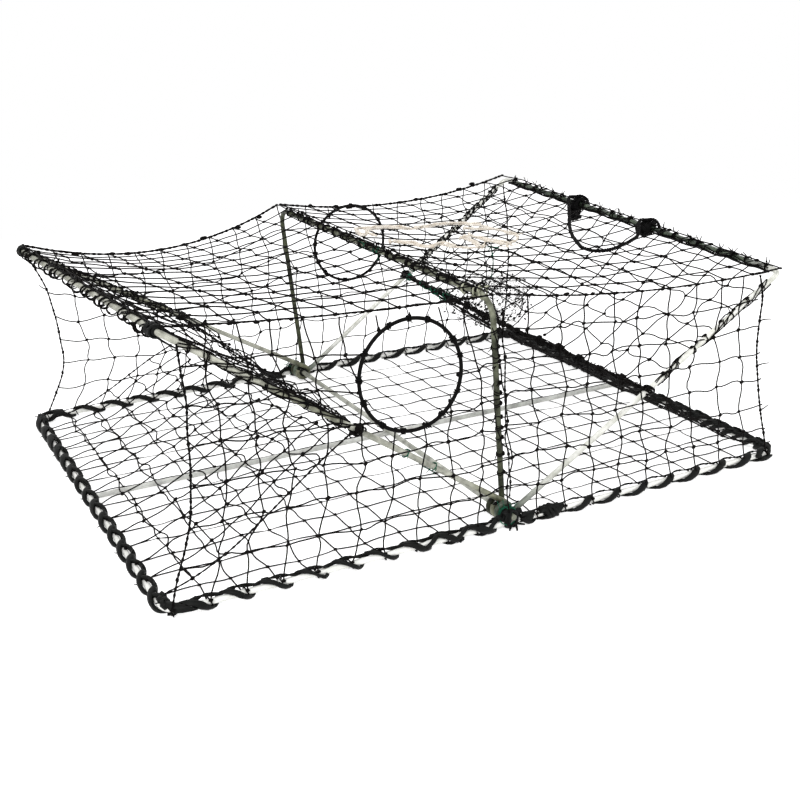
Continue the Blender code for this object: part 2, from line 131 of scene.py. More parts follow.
def smoothLine(spots, step):
    # a smooth curve through the spots, with a point in every step
    spots = np.asarray(spots, float)
    ends = np.vstack([2 * spots[0] - spots[1], spots, 2 * spots[-1] - spots[-2]])
    t = np.arange(16)[:, None] / 16
    fine = [0.5 * (2 * b + (c - a) * t + (2 * a - 5 * b + 4 * c - d) * t ** 2
                   + (3 * b - a - 3 * c + d) * t ** 3)
            for a, b, c, d in zip(ends, ends[1:], ends[2:], ends[3:])]
    return evenLine(np.vstack(fine + [spots[-1:]]), step)


def bentLine(corners, radius, steps, closed=False):
    # a rod's line with its corners bent to a radius
    corners = [Vector(c) for c in corners]
    path = []
    for n, corner in enumerate(corners):
        if not closed and n in (0, len(corners) - 1):
            path.append(corner)
            continue
        back = (corners[n - 1] - corner).normalized()
        ahead = (corners[(n + 1) % len(corners)] - corner).normalized()
        half = back.angle(ahead) / 2
        centre = corner + (back + ahead).normalized() * radius / sin(half)
        start = corner + back * radius / tan(half) - centre
        axis = back.cross(ahead).normalized()
        for step in range(steps + 1):
            path.append(centre + Matrix.Rotation(-(pi - 2 * half) * step / steps, 3, axis) @ start)
    return [np.array(p) for p in path]


def wavering(rng, count, span=5):
    # a random wander, smoothed over a few points
    return np.convolve(rng.normal(size=count + span - 1), np.ones(span) / span, "valid")


def bead():
    # the shape of a drawn-up knot, used over and over
    golden = (1 + 5 ** 0.5) / 2
    spots = np.array([(-1, golden, 0), (1, golden, 0), (-1, -golden, 0), (1, -golden, 0),
                      (0, -1, golden), (0, 1, golden), (0, -1, -golden), (0, 1, -golden),
                      (golden, 0, -1), (golden, 0, 1), (-golden, 0, -1), (-golden, 0, 1)])
    skins = [(0, 11, 5), (0, 5, 1), (0, 1, 7), (0, 7, 10), (0, 10, 11), (1, 5, 9), (5, 11, 4),
             (11, 10, 2), (10, 7, 6), (7, 1, 8), (3, 9, 4), (3, 4, 2), (3, 2, 6), (3, 6, 8),
             (3, 8, 9), (4, 9, 5), (2, 4, 11), (6, 2, 10), (8, 6, 7), (9, 8, 1)]
    return spots / np.linalg.norm(spots[0]), skins


beadSpots, beadSkins = bead()


class Stock:
    # the tubes and knots of one piece, with the random draws behind them

    def __init__(self, seed=0):
        self.points, self.faces, self.count = [], [], 0
        self.rng = np.random.default_rng(seed)

    def stray(self):
        return self.rng.normal(size=3)

    def shell(self, rings, closed=False):
        # rings is an array of loops, each with the same number of points
        loops, sides = rings.shape[:2]
        start = self.count
        self.points.append(rings.reshape(-1, 3))
        self.count += loops * sides
        for a in range(loops if closed else loops - 1):
            here, there = start + a * sides, start + (a + 1) % loops * sides
            for k in range(sides):
                m = (k + 1) % sides
                self.faces.append((here + k, here + m, there + m, there + k))
        if not closed:
            self.faces.append(tuple(range(start, start + sides))[::-1])
            self.faces.append(tuple(range(self.count - sides, self.count)))

    def tube(self, points, radius, sides=6, closed=False):
        # radius is one value, or one for each point
        points = np.asarray(points, float)
        first, second = squareAxes(points, closed)
        size = np.broadcast_to(np.asarray(radius, float).reshape(-1, 1, 1), (len(points), 1, 1))
        turn = np.arange(sides) * tau / sides
        self.shell(points[:, None] + size * swung(turn[None], first[:, None], second[:, None]), closed)

    def twist(self, points, radius, strands, lay, sides=6):
        # laid rope: strands that turn round the line once in each lay
        points = np.asarray(points, float)
        axes = squareAxes(points)
        turn = distances(points) / lay * tau
        strand = radius / (1 + 1 / sin(pi / strands))
        for number in range(strands):
            around = (radius - strand) * swung(turn + number * tau / strands, *axes)
            self.tube(points + around, strand * 1.06, sides)

    def knot(self, centre, size, way, stretch=1.35):
        along = unit(way)
        across = unit(np.cross(along, self.stray()))
        axes = np.array([along * stretch, across, np.cross(along, across) * 0.85]) * size
        swell = 1 + 0.22 * (self.rng.random((12, 1)) - 0.5)
        self.points.append(np.asarray(centre) + (beadSpots * swell) @ axes)
        self.faces.extend(tuple(self.count + k for k in skin) for skin in beadSkins)
        self.count += 12

    def wrap(self, centre, way, radius, thick, turns=1.0, run=0.0, sides=4, off=(0, 0, 0)):
        # twine thrown round a rod: off moves the loops to the side on which they hang proud
        way = unit(way)
        out = unit(np.cross(way, (0.2, 0.1, 0.97)))
        share = np.linspace(0, 1, max(8, int(12 * turns)) + 1)
        turn = self.rng.random() * tau + share * tau * turns
        reach = (share - 0.5) * run + 0.25 * radius * np.sin(turn)
        line = np.asarray(centre) + np.asarray(off) + reach[:, None] * way
        self.tube(line + radius * swung(turn, out, np.cross(way, out)), thick, sides)

    def tail(self, spot, way, length, thick, sides=4):
        # a cut end of twine that sticks out and curls over
        way, curl = unit(way), self.stray()
        curl = unit(curl - way * np.dot(curl, way)) * 0.35
        spots = [np.asarray(spot) + length * (way * s + curl * s ** 2.5 * (1 if s < 0.9 else 0.8))
                 for s in (0, 0.35, 0.7, 1)]
        line = smoothLine(spots, length / 5)
        self.tube(line, thick * np.linspace(1, 0.6, len(line)), sides)

    def runner(self, start, end, radius, reach, turns, seed, sides=5, swing=0.6):
        # twine that runs on along a rod between its ties, and winds slowly round it
        rng = np.random.default_rng(seed)
        way = np.asarray(end) - np.asarray(start)
        side = unit(np.cross(way, up))
        share = np.linspace(0, 1, max(8, int(np.linalg.norm(way) / 7)))
        wander = wavering(rng, len(share)) * swing
        turn = rng.random() * 6 + turns * tau * share + wander
        self.tube(np.asarray(start) + share[:, None] * way
                  + reach * swung(turn, side, unit(np.cross(side, way))), radius, sides)

    def ties(self, start, end, count, radius, thick, turns, tails):
        # the edge of a net tied to a rod, one tie for each mesh
        way = np.asarray(end) - np.asarray(start)
        for n in range(count):
            spot = between(start, end, (n + 0.3 + 0.4 * self.rng.random()) / count)
            self.wrap(spot, way, radius, thick, turns, 3)
            if self.rng.random() < tails:
                swing = self.stray()
                swing = unit(swing - way * np.dot(swing, way) / np.dot(way, way))
                self.tail(spot + swing * radius, swing, 6 + 5 * self.rng.random(), mesh["twine"])

    def make(self, name, look, solid=None, body=None):
        # the piece itself, kept just above the ground
        material, slotName = look
        points = np.concatenate(self.points) * mm
        points[:, 2] = np.maximum(points[:, 2], 0.3 * mm)
        made = bpy.data.meshes.new(name)
        made.from_pydata(points.tolist(), [], self.faces)
        made.validate()
        made.materials.append(material)
        made.shade_smooth()
        made.set_sharp_from_angle(angle=radians(55))
        piece = bpy.data.objects.new(name, made)
        scene.collection.objects.link(piece)
        if solid:
            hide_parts(solid)
        if body:
            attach(piece, body)
        return piece


# The trap's own places

trap = {"rod": 4.0, "bare": 3.2, "halfLength": 377.0, "halfWidth": 295.5, "baseZ": 5.778,
        "hingeLift": 8.4, "eye": 8.4, "eyeSweep": 267, "sideY": 304.2, "sideZ": 8.778, "sideLean": 15 / 248.4}
near, far = 0, 1
outward = (-1, 1)
ends = ("near", "far")
signs = {"left": -1, "right": 1}

# The three hoops, near leg first and then far leg; angle is in degrees from +X, eye and bar are
# distances from the middle of the hinge rod
hoops = {"arch": {"angle": (93.6, 95.4), "leg": (232, 240), "eye": (267, 281), "bar": (270, 279), "bend": 24},
         "left": {"angle": (145.4, 149.8), "leg": (435, 435), "eye": (275.5, 264), "bar": (276, 276),
                  "bend": 10, "slit": 206},
         "right": {"angle": (29.8, 35.6), "leg": (435, 435), "eye": (284, 272.5), "bar": (276, 276),
                   "bend": 10, "slit": 216}}
rod, baseZ, halfX, halfY = trap["rod"], trap["baseZ"], trap["halfLength"], trap["halfWidth"]
hinge = at(0, 0, baseZ + trap["hingeLift"])


def legPoint(hoop, end, reach):
    # a point of a hoop's straight leg, which starts level with the hinge at the side of its eye
    rods = hoops[hoop]
    turn = radians(rods["angle"][end])
    y = between(rods["eye"][end], rods["bar"][end], reach / rods["leg"][end])
    return hinge + at(reach * cos(turn) + trap["eye"] * sin(turn), outward[end] * y,
                      reach * sin(turn) - trap["eye"] * cos(turn))


bars = {hoop: [legPoint(hoop, end, hoops[hoop]["leg"][end]) for end in (near, far)] for hoop in hoops}


def onBar(hoop, y):
    a, b = bars[hoop]
    return between(a, b, (y - a[1]) / (b[1] - a[1]))


# Materials

def fromHex(code):
    shades = [int(code[k:k + 2], 16) / 255 for k in (1, 3, 5)]
    return tuple(s / 12.92 if s <= 0.04045 else ((s + 0.055) / 1.055) ** 2.4 for s in shades) + (1.0,)


def node(tree, kind, settings=None, links=None):
    # stops are a colour ramp's places, each with a hex code or a shade of grey; a link's key is its socket
    made = tree.nodes.new(kind)
    for key, value in (settings or {}).items():
        if key == "stops":
            stops = made.color_ramp.elements
            for n, (place, shade) in enumerate(value):
                stop = stops[n] if n < 2 else stops.new(place)
                stop.position = place
                stop.color = fromHex(shade) if isinstance(shade, str) else (shade, shade, shade, 1)
        elif key in made.inputs:
            made.inputs[key].default_value = value
        else:
            setattr(made, key, value)
    for key, source in (links or {}).items():
        tree.links.new(source, made.inputs[key])
    return made


def perMetre(sizeInMm):
    # texture scale whose features are about this many millimetres across
    return 1000.0 / sizeInMm


def startMaterial(name):
    material = bpy.data.materials.new(name)
    material.use_nodes = True
    tree = material.node_tree
    tree.nodes.clear()
    return material, tree


def endMaterial(tree, colour, patch, roughness, height, depth, settings):
    # roughness is what it has in two kinds of patch, and depth is how deep its relief goes in mm
    low, high = roughness
    polish = {"From Min": 0.3, "From Max": 0.7, "To Min": low, "To Max": high}
    rough = node(tree, "ShaderNodeMapRange", polish, {"Value": patch}).outputs["Result"]
    bump = node(tree, "ShaderNodeBump", {"Strength": 1.0, "Distance": depth * mm}, {"Height": height})
    shader = node(tree, "ShaderNodeBsdfPrincipled", settings,
                  {"Base Color": colour, "Roughness": rough, "Normal": bump.outputs["Normal"]})
    node(tree, "ShaderNodeOutputMaterial", links={"Surface": shader.outputs["BSDF"]})


def galvanisedSteel(name, dark, light, roughest=0.5, stainAndShade=None, gloss=0.5):
    # hot dipped zinc on steel rod: cloudy pale grey with a soft shine, olive green where weed stained it; the
    # same ramps paint shade on some rods
    material, tree = startMaterial(name)
    place = node(tree, "ShaderNodeTexCoord").outputs["Object"]
    clouds = {"Scale": perMetre(14), "Detail": 5.0, "Roughness": 0.6}
    cloud = node(tree, "ShaderNodeTexNoise", clouds, {"Vector": place}).outputs["Fac"]
    flecks = {"Scale": perMetre(1.6), "Detail": 2.0}
    fleck = node(tree, "ShaderNodeTexNoise", flecks, {"Vector": place}).outputs["Fac"]
    tones = {"stops": ((0.34, dark), (0.64, light))}
    colour = node(tree, "ShaderNodeValToRGB", tones, {"Fac": cloud}).outputs["Color"]
    if stainAndShade:
        # how much stain it has at each place along an axis, in metres, which on some rods is painted shade; a
        # ramp's places start at -0.5 m
        axes = node(tree, "ShaderNodeSeparateXYZ", links={"Vector": place}).outputs
        worst = node(tree, "ShaderNodeMath", {"operation": "MAXIMUM"})
        for k, (axis, amounts) in enumerate(stainAndShade["by"]):
            moved = node(tree, "ShaderNodeMath", {"operation": "ADD"}, {0: axes[axis]})
            moved.inputs[1].default_value = 0.5
            stops = {"stops": [(spot + 0.5, much) for spot, much in amounts]}
            curve = node(tree, "ShaderNodeValToRGB", stops, {"Fac": moved.outputs["Value"]})
            tree.links.new(curve.outputs["Color"], worst.inputs[k])
        stainAndShadeTones = {"stops": ((0.36, stainAndShade["dark"]), (0.62, stainAndShade["light"]))}
        stainAndShadeColour = node(tree, "ShaderNodeValToRGB", stainAndShadeTones, {"Fac": cloud}).outputs["Color"]
        mixed = {"Factor": worst.outputs["Value"], "A": colour, "B": stainAndShadeColour}
        colour = node(tree, "ShaderNodeMix", {"data_type": "RGBA"}, mixed).outputs["Result"]
    endMaterial(tree, colour, cloud, (roughest, roughest - 0.16), fleck, 0.08,
                {"Metallic": 0.4 * gloss, "Specular IOR Level": gloss})
    return material, "galvanised_rod"


def tubeRubber():
    # strip cut from inner tube: matt black, greyer where dust sits on it
    material, tree = startMaterial("tubeRubber")
    place = node(tree, "ShaderNodeTexCoord").outputs["Object"]
    patches = {"Scale": perMetre(9), "Detail": 6.0, "Roughness": 0.65}
    dust = node(tree, "ShaderNodeTexNoise", patches, {"Vector": place}).outputs["Fac"]
    grains = {"Scale": perMetre(1.1), "Detail": 3.0}
    grain = node(tree, "ShaderNodeTexNoise", grains, {"Vector": place}).outputs["Fac"]
    tones = {"stops": ((0.45, "#030403"), (0.85, "#121513"))}
    colour = node(tree, "ShaderNodeValToRGB", tones, {"Fac": dust}).outputs["Color"]
    endMaterial(tree, colour, dust, (0.45, 0.7), grain, 0.25, {"Specular IOR Level": 0.14})
    return material, "rubber_strip"


# Twisted nylon dipped in tar is near black, with a faint gloss on the lay; spun cord shows its twist and
# rough fibres, which catch light at the edges
yarns = {"tarred": {"wave": {"Distortion": 5.0, "Detail": 2.0}, "tone": (0.35, 0.75), "rough": (0.55, 0.72),
                    "patch": {"Scale": perMetre(22), "Detail": 4.0}, "depth": 0.2, "gloss": 0.06},
         "spun": {"wave": {"Distortion": 3.0, "Detail": 3.0}, "tone": (0.3, 0.7), "rough": (0.78, 0.95),
                  "patch": {"Scale": perMetre(6), "Detail": 5.0}, "depth": 0.4, "gloss": 0.1}}


def yarn(kind, name, slotName, dark, light, lay, sheen=0.0):
    made = yarns[kind]
    material, tree = startMaterial(name)
    place = node(tree, "ShaderNodeTexCoord").outputs["Object"]
    waves = {"Scale": perMetre(lay) / tau, "bands_direction": "DIAGONAL", **made["wave"]}
    twist = node(tree, "ShaderNodeTexWave", waves, {"Vector": place}).outputs["Fac"]
    patch = node(tree, "ShaderNodeTexNoise", made["patch"], {"Vector": place}).outputs["Fac"]
    tones = {"stops": tuple(zip(made["tone"], (dark, light)))}
    colour = node(tree, "ShaderNodeValToRGB", tones, {"Fac": patch}).outputs["Color"]
    endMaterial(tree, colour, patch, made["rough"], twist, made["depth"],
                {"Sheen Weight": sheen, "Specular IOR Level": made["gloss"]})
    return material, slotName


# How each rod looks, from clean zinc through weed stain at some places to dark nearly all over, with painted
# shade on part of the brace
steel = galvanisedSteel("galvanisedSteel", "#DFE0DA", "#F6F6F3")
# painted shadow: the brace is darkened from about 0.1 m to 0.3 m along x, under the right roof
braceSteel = galvanisedSteel("shadedZinc", "#EDEDE9", "#FAFAF8", stainAndShade={
    "by": (("X", ((0.06, 0), (0.1, 0.6), (0.2, 0.7), (0.28, 0.35), (0.35, 0))),),
    "dark": "#3E4239", "light": "#A3A79C"})
stainedSteel = galvanisedSteel("stainedZinc", "#C9CABF", "#F4F4EF", stainAndShade={
    "by": (("Y", ((-0.262, 0), (-0.225, 1), (0.24, 1), (0.266, 0))),
           ("X", ((0.012, 1), (0.06, 0.25), (0.1, 0)))),
    "dark": "#1E261F", "light": "#5A6655"})
dulledSteel = galvanisedSteel("dulledZinc", "#B2B3A6", "#EDEDE6", gloss=0.3, stainAndShade={
    "by": (("X", ((-0.37, 0.55), (-0.34, 0.12), (-0.29, 0.3), (-0.25, 0.8), (-0.19, 0.85), (-0.155, 0.12),
                  (-0.06, 0.15), (-0.03, 0.8), (0, 1))),),
    "dark": "#2E3020", "light": "#84866B"})
# the arch is darker towards the bottom of its legs and towards its far side
darkerLowSteel = galvanisedSteel("darkerLowZinc", "#4A4D3C", "#A9AC98", 0.56, gloss=0.2, stainAndShade={
    "by": (("Z", ((0.03, 1), (0.1, 0.9), (0.2, 0.85), (0.235, 0.15))),
           ("Y", ((-0.23, 0), (-0.15, 0.55), (0.1, 0.7), (0.26, 1)))),
    "dark": "#0E100A", "light": "#474C38"})
streakedSteel = galvanisedSteel("streakedZinc", "#B9BBAF", "#F1F1EC", gloss=0.4, stainAndShade={
    "by": (("Y", ((-0.3, 0.9), (-0.25, 0.45), (-0.1, 0.3), (0.1, 0.5), (0.25, 0.8))),),
    "dark": "#22261A", "light": "#7C806A"})
rubber = tubeRubber()
# tar darkens twine and wire alike; the cords are off white, dark, weathered and deep green
twine = yarn("tarred", "tarredTwine", "net_twine", "#030202", "#0C0908", 2.0)
bagTwine = (twine[0], "bait_mesh")
ringWire = yarn("tarred", "coatedWire", "ring_wire", "#040404", "#0D0C0C", 3.0)
cotton = yarn("spun", "cottonCord", "cotton_cord", "#CFC3B3", "#F6F1E8", 2.5, 0.1)
ropeYarn = yarn("spun", "braidedRope", "lift_cord", "#020202", "#0A090A", 3.0)
agedTwine = yarn("spun", "agedTwine", "cotton_cord", "#4C4F3A", "#C4C6B0", 2.5, 0.1)
greenTwine = yarn("spun", "greenPolyTwine", "green_twine", "#0A3325", "#1B664C", 2.0, 0.05)
print("materials made")


# The lifting rope, the one free cord; turn is where it goes round the bar at each end
liftRope = {"thick": 5.4, "knots": (97, -51), "turn": ((17, -4.5), (13, 5), (4, 10.4), (-6, 11), (-18, 10.5)),
            "route": ((318, 52), (283, 2), (260, -34), (243, -68), (231, -98), (234, -118), (252, -124),
                      (285, -113), (318, -95))}
# How deep the roof hangs along its near and far edge, and how far its middle line reaches to each side
roof = {"sag": {"left": (7, 33), "right": (14, 18)}, "half": 270, "lift": 6.9}


def roofPoint(side, u, v, half=roof["half"]):
    # u runs from the bail to the arch, v from the near edge to the far one
    y = half * (2 * v - 1)
    low = onBar(side, y) + at(-signs[side] * 3, 0, roof["lift"])
    top = onBar("arch", y) + at(signs[side] * 3.2, 0, roof["lift"])
    return between(low, top, u) - up * between(*roof["sag"][side], v) * 4 * u * (1 - u)


def onRoof(x, y, lift):
    # a place on the right half of the roof
    v = (y / roof["half"] + 1) / 2
    bar, top = roofPoint("right", 0, v), roofPoint("right", 1, v)
    return roofPoint("right", (bar[0] - x) / (bar[0] - top[0]), v) + up * lift


def makeLiftRope():
    first, last = [[onBar("right", y) + at(x, -2, z) for x, z in liftRope["turn"]] for y in liftRope["knots"]]
    path = smoothLine(first + [onRoof(x, y, 5) for x, y in liftRope["route"]] + last[::-1], 4)
    stock = Stock()
    stock.twist(path, liftRope["thick"] / 2, 3, 14)
    piece = stock.make("liftRope", ropeYarn, "lift_rope", "right_bail")
    length = float(distances(path)[-1])
    print("lift rope laid, length in mm", round(length))


makeLiftRope()


def trefoil(centre, size, thick, turn):
    # an overhand knot pulled up, as a closed line
    t = np.arange(36) / 36 * tau
    line = np.stack([np.sin(t) + 2 * np.sin(2 * t), np.cos(t) - 2 * np.cos(2 * t),
                     -1.3 * np.sin(3 * t)], 1) / 3
    spin = np.array(Matrix.Rotation(turn[0], 3, "X") @ Matrix.Rotation(turn[1], 3, "Y"))
    return centre + (line @ spin.T) * (size - thick)


# The knots' middles from the bar's own middle, and how far they reach
liftKnot = {"far": {"hang": at(-5, 1, -13), "size": at(12, 11, 13), "turn": (0.4, 1.2)},
            "near": {"hang": at(-10, -2, 0.5), "size": at(16, 12, 9), "turn": (1.3, 0.5)}, "thick": 2.7}


def makeLiftKnots():
    thick = liftKnot["thick"]
    for tag, y in zip(("far", "near"), liftRope["knots"]):
        size, turn = liftKnot[tag]["size"], liftKnot[tag]["turn"]
        bar = onBar("right", y)
        centre = bar + liftKnot[tag]["hang"]
        stock = Stock(7)
        # loops of rope within each other, filled up with smaller turns, then round the bar, and two cut ends
        for share, spin, shift in ((1.0, turn, 0), (0.85, (turn[1], turn[0] + 1), 2),
                                   (0.7, (turn[1] + 2, 0.3), -4), (0.45, (2.2, turn[0]), 1)):
            loop = trefoil(centre + at(shift, shift / 2, shift / 2), size * share + thick * 0.3, thick, spin)
            stock.tube(loop, thick, 8, closed=True)
        for k in range(6):
            stock.knot(centre + stock.stray() * size * 0.32, thick * 1.9, stock.stray(), 1.3)
        stock.wrap(bar, bars["right"][1] - bars["right"][0], rod + thick + 0.3, thick, 2.2, 13, 7)
        for k in (0, 1):
            stock.tail(centre + (-4, 12 * k - 6, -4), (-0.8 + 0.9 * k, 1.6 * k - 0.8, -0.6), 8,
                       thick * 0.7, 6)
        stock.make("liftKnot" + tag.title(), ropeYarn, "lift_knot_" + tag, "right_bail")
    print("lift knots tied")


makeLiftKnots()


# Rods

def eyeLine(hoop, end):
    rods = hoops[hoop]
    middle = hinge + at(0, outward[end] * rods["eye"][end], 0)
    turns = np.radians(rods["angle"][end] - 90 + trap["eyeSweep"] * np.linspace(-1, 0, 26))
    return [middle + trap["eye"] * at(cos(turn), 0, sin(turn)) for turn in turns]


def hoopLine(hoop):
    first, last = eyeLine(hoop, near), eyeLine(hoop, far)[::-1]
    return first[:-1] + bentLine([first[-1], *bars[hoop], last[0]], hoops[hoop]["bend"], 8) + last[1:]


# How far the brace and the hinge rod reach, and the radius of the base's corners
base = {"brace": 372.4, "hinge": halfY + 9, "bend": 20, "weld": 2.6}


def makeRods():
    rectangle = [(x * halfX, y * halfY, baseZ) for x, y in ((-1, -1), (1, -1), (1, 1), (-1, 1))]
    share = np.linspace(-1, 1, 9)
    rods = {"baseFrame": ("base", bentLine(rectangle, base["bend"], 10, closed=True), steel),
            "longBrace": ("base", [(x, 0, baseZ) for x in share * base["brace"]], braceSteel),
            "hingeRod": ("base", [(0, y, hinge[2]) for y in share * base["hinge"]], streakedSteel),
            "centerArch": ("arch", hoopLine("arch"), darkerLowSteel),
            "leftBail": ("left_bail", hoopLine("left"), dulledSteel),
            "rightBail": ("right_bail", hoopLine("right"), stainedSteel)}
    solids = ("base_frame", "long_brace", "hinge_rod", "center_arch", "left_bail", "right_bail")
    for solid, (name, (body, line, finish)) in zip(solids, rods.items()):
        stock = Stock(3)
        stock.tube(line, trap["bare"], 16, closed=name == "baseFrame")
        if name == "longBrace":
            # weld beads where the brace meets the base
            for end in (-1, 1):
                for y in (-3.4, 3.4):
                    stock.knot((end * 371, y, baseZ), base["weld"], up)
        stock.make(name, finish, solid, body)
    print("rods bent")


makeRods()


# Rubber strip wound round the base
strip = {"inner": 3.4, "thick": 2.4, "longTurns": 9, "steps": 26, "pitch": 36.7,
         "section": ((-1, 0.4), (-0.6, 0.0), (0.6, 0.0), (1, 0.4), (0.95, 0.85), (0.45, 1.15), (-0.45, 1.15),
                     (-0.95, 0.85))}


def addStrip(stock, path, turns, lowest, hand, wide, slow, hold=0.55):
    # strip wound along a path: it runs on along the rod at the angle slow, and goes quickly round elsewhere
    path = np.asarray(path, float)
    along, ways = distances(path), directions(path)
    steps = int(turns * strip["steps"])
    drift = np.cumsum(stock.rng.normal(size=(steps + 1, 2)), axis=0) * 0.03
    drift -= np.linspace(0, 1, steps + 1)[:, None] * drift[-1]
    loops = []
    for n in range(steps + 1):
        turn = lowest + hand * tau * turns * n / steps + drift[n, 0]
        share = min(max(n / steps + hold * sin(hand * (turn - slow)) / (tau * turns), 0), 1)
        middle, way = [placesAt(share * along[-1], along, line) for line in (path, ways)]
        out = swung(turn, unit(np.cross(way, up)), up)
        ease = 0.5 + 0.5 * cos(turn - slow)
        half = wide / 2 * (0.5 + 0.5 * ease) * (1 + drift[n, 1])
        thick = strip["thick"] * (1 + 0.7 * ease)
        loops.append([middle + way * s * half + out * (strip["inner"] + 0.5 * ease + r * thick)
                      for s, r in strip["section"]])
    stock.shell(np.array(loops))


def addRoping(stock, start, end, inward, radius):
    # doubled strip along the top of the rod, which ropes the edge of the nets to it
    start, end = np.asarray(start), np.asarray(end)
    length = np.linalg.norm(end - start)
    along = np.arange(0, length + 0.1, 5)
    wave = along / strip["pitch"] * tau
    aside = 2.6 + 1.5 * np.sin(wave) + wavering(stock.rng, len(along), 7) * 2.2
    line = (start + along[:, None] * unit(end - start) + np.asarray(inward) * aside[:, None]
            + up * (5.2 + np.cos(wave))[:, None])
    stock.twist(line, radius, 2, strip["pitch"])
    for s in np.arange(0.4, length / strip["pitch"]):
        spot = line[min(int(s * strip["pitch"] / 5), len(line) - 1)]
        stock.knot(spot, min(radius * 1.4, 2.9), end - start, 2.0)


def basePath(*corners):
    # along the base rod, round its bends
    return evenLine(bentLine([(x, y, baseZ) for x, y in corners], base["bend"], 6), 6)


def makeLongStrip(end, half):
    y, sign = outward[end] * halfY, signs[half]
    left, bunched = half == "left", (end, half) == (near, "right")
    stock = Stock(11 + sign + end * 5)
    # the strip lies along the top and front of the left half, and along the front and bottom of the right
    slow = radians(150 if left else -32)
    addStrip(stock, basePath((sign * 15, y), (sign * 362, y)), strip["longTurns"], 0.0, sign,
             19 if (end, half) == (near, "left") else 16, slow,
             0.75 if (end, half) == (far, "left") else 0.55)
    addRoping(stock, (sign * 6, y, baseZ), (sign * 368, y, baseZ), (0, -outward[end], 0),
              ((2.2, 1.2), (0.8, 1.6))[end][sign > 0])
    # a second lap of strip crosses the first beside the hinge
    addStrip(stock, basePath((sign * 14, y), (sign * (104 if left else 52), y)), 2.5 if left else 1.0, 0.6,
             -sign, 9, slow)
    if bunched:
        # the strip starts in a bunched knot
        for x, z in ((42, 5), (46, 2), (50, 6), (54, 3), (58, 5), (17, 4)):
            stock.knot((x, y - 2, baseZ + z), 4.6, (1, 0, 0.3), 1.5)
        stock.wrap((50, y, baseZ), (1, 0, 0.1), rod + 3.2, 2.2, 2.6, 13, 7)
    # cut ends
    for x in (60, 215, 300):
        stock.tail((sign * x, y + outward[end] * 4, baseZ - 1), (sign, outward[end] * 0.9, -0.12), 8, 1.1)
    stock.make(ends[end] + "Strip" + half.title(), rubber, ends[end] + "_strip_" + half, "base")


def makeEndStrip(side):
    sign = signs[side]
    x = sign * halfX
    stock = Stock(31 + (sign > 0))
    nearX, farX = {"left": (-357, -346), "right": (349, 346)}[side]
    path = basePath((nearX, -halfY), (x, -halfY), (x, halfY), (farX, halfY))
    if side == "left":
        addStrip(stock, path, 16.5, pi, -1, 21, radians(165))
        addStrip(stock, path, 16, 0.6 * pi, 1, 9, radians(20), 0.2)
    else:
        for lowest, wide in ((0.0, 15), (pi, 14)):
            addStrip(stock, path, 17, lowest, 1, wide, radians(140))
    addRoping(stock, (x, -284, baseZ), (x, 284, baseZ), (-sign, 0, 0), 1.2 if sign < 0 else 2.4)
    if side == "right":
        addRoping(stock, (x, -280, baseZ + 2), (x, 280, baseZ + 2), (0.2, 0, 0.2), 2.0)
    # knotted off at both corners, with cut ends that stick out
    for y in (-1, 1):
        for k in range(4):
            stock.knot((x - sign * (2 + 3 * (k % 2)), y * (287 - 5 * k), baseZ + 4.5), 5.0, (0, 1, 0.3))
        for k in (0, 1):
            stock.tail((x - sign * 4, y * 282, baseZ + 4), (sign * (0.9 - 0.6 * k), y * (0.2 + 0.7 * k), 0.5),
                       10, 1.0)
    for y in np.arange(-230, 231, 76):
        stock.tail((x + sign * 4, y, baseZ), (sign, 0.3, -0.2), 7, 0.8)
    stock.make(side + "Strip", rubber, side + "_strip", "base")


for end in (near, far):
    for half in ("left", "right"):
        makeLongStrip(end, half)
for side in ("left", "right"):
    makeEndStrip(side)
print("rubber strip wound")

# Strip lashed crosswise over the hinge rod, where it lies on the base: each loop's way and shift aside
binding = {"reach": 12, "tall": 9.4,
           "loops": ((1, 1, -1.6), (1, 1, 0.2), (1, 1, 2.0), (1, -1, -1.0), (1, -1, 0.8), (1, -0.7, 2.8),
                     (1, 0.1, -3.0), (1, 0.6, 3.6), (1, -0.2, 5.0))}


def curved(value, power):
    return copysign(abs(value) ** power, value)


def makeBinding(end):
    out = outward[end]
    stock = Stock(5 + end)
    middle = at(0, out * halfY, (baseZ + hinge[2]) / 2)
    for n, (ahead, aside, shift) in enumerate(binding["loops"]):
        way = unit((ahead, -aside * out, 0))
        across = np.cross(up, way)
        line = [middle + way * 0.66 * curved(cos(t), 0.55) * binding["reach"]
                + up * curved(sin(t), 0.8) * (binding["tall"] - 0.2 * n)
                + across * (shift + 0.6 * sin(2 * t)) for t in np.arange(28) / 28 * tau]
        stock.tube(line, 1.5 + 0.3 * stock.rng.random(), 6, closed=True)
    # it is drawn up in knots, with three long ends
    for spot in ((4, 3, 8.5), (-5, -2, 7.5), (9, 0, 2), (-9, 1, 1), (12, 2, 5), (-13, 1, 3)):
        stock.knot(middle + spot, 4.0, (1, 0.3, 0))
    for way, length in (((0.1, out, -0.6), 10), ((0.9, out * 0.7, -0.2), 11), ((-1, out * 0.5, -0.1), 12)):
        stock.tail(middle + (3, out * 5, -4), way, length, 1.7, 6)
    # strip also fills the hinge rod between the eyes, below the reach of the legs
    for reach in (262, 271, 279.5, 288):
        stock.wrap((0, out * reach, hinge[2]), (0, 1, 0), rod + 1.0, 1.2, 2.0, 3, 6)
    stock.make(ends[end] + "PivotBinding", rubber, ends[end] + "_pivot_binding", "base")

    # green twine caught among it
    green = Stock(stock.rng)
    for k in range(4):
        green.wrap(middle + (3 * k - 4, -out * 2 * k, 3), green.stray() + (0, 1.2, 0), 9.5, 0.6, 1.1, 6)
    for k in range(6):
        green.tail(middle + (3 * k - 8, -out * 5, 7), green.stray() + up, 12, 0.6)
    green.make(ends[end] + "PivotTwine", greenTwine, None, "base")


for end in (near, far):
    makeBinding(end)
print("hinge rod bound")


# Netting

mesh = {"twine": 0.84, "knot": 2.1}
noEdges = (False, False, False, False)


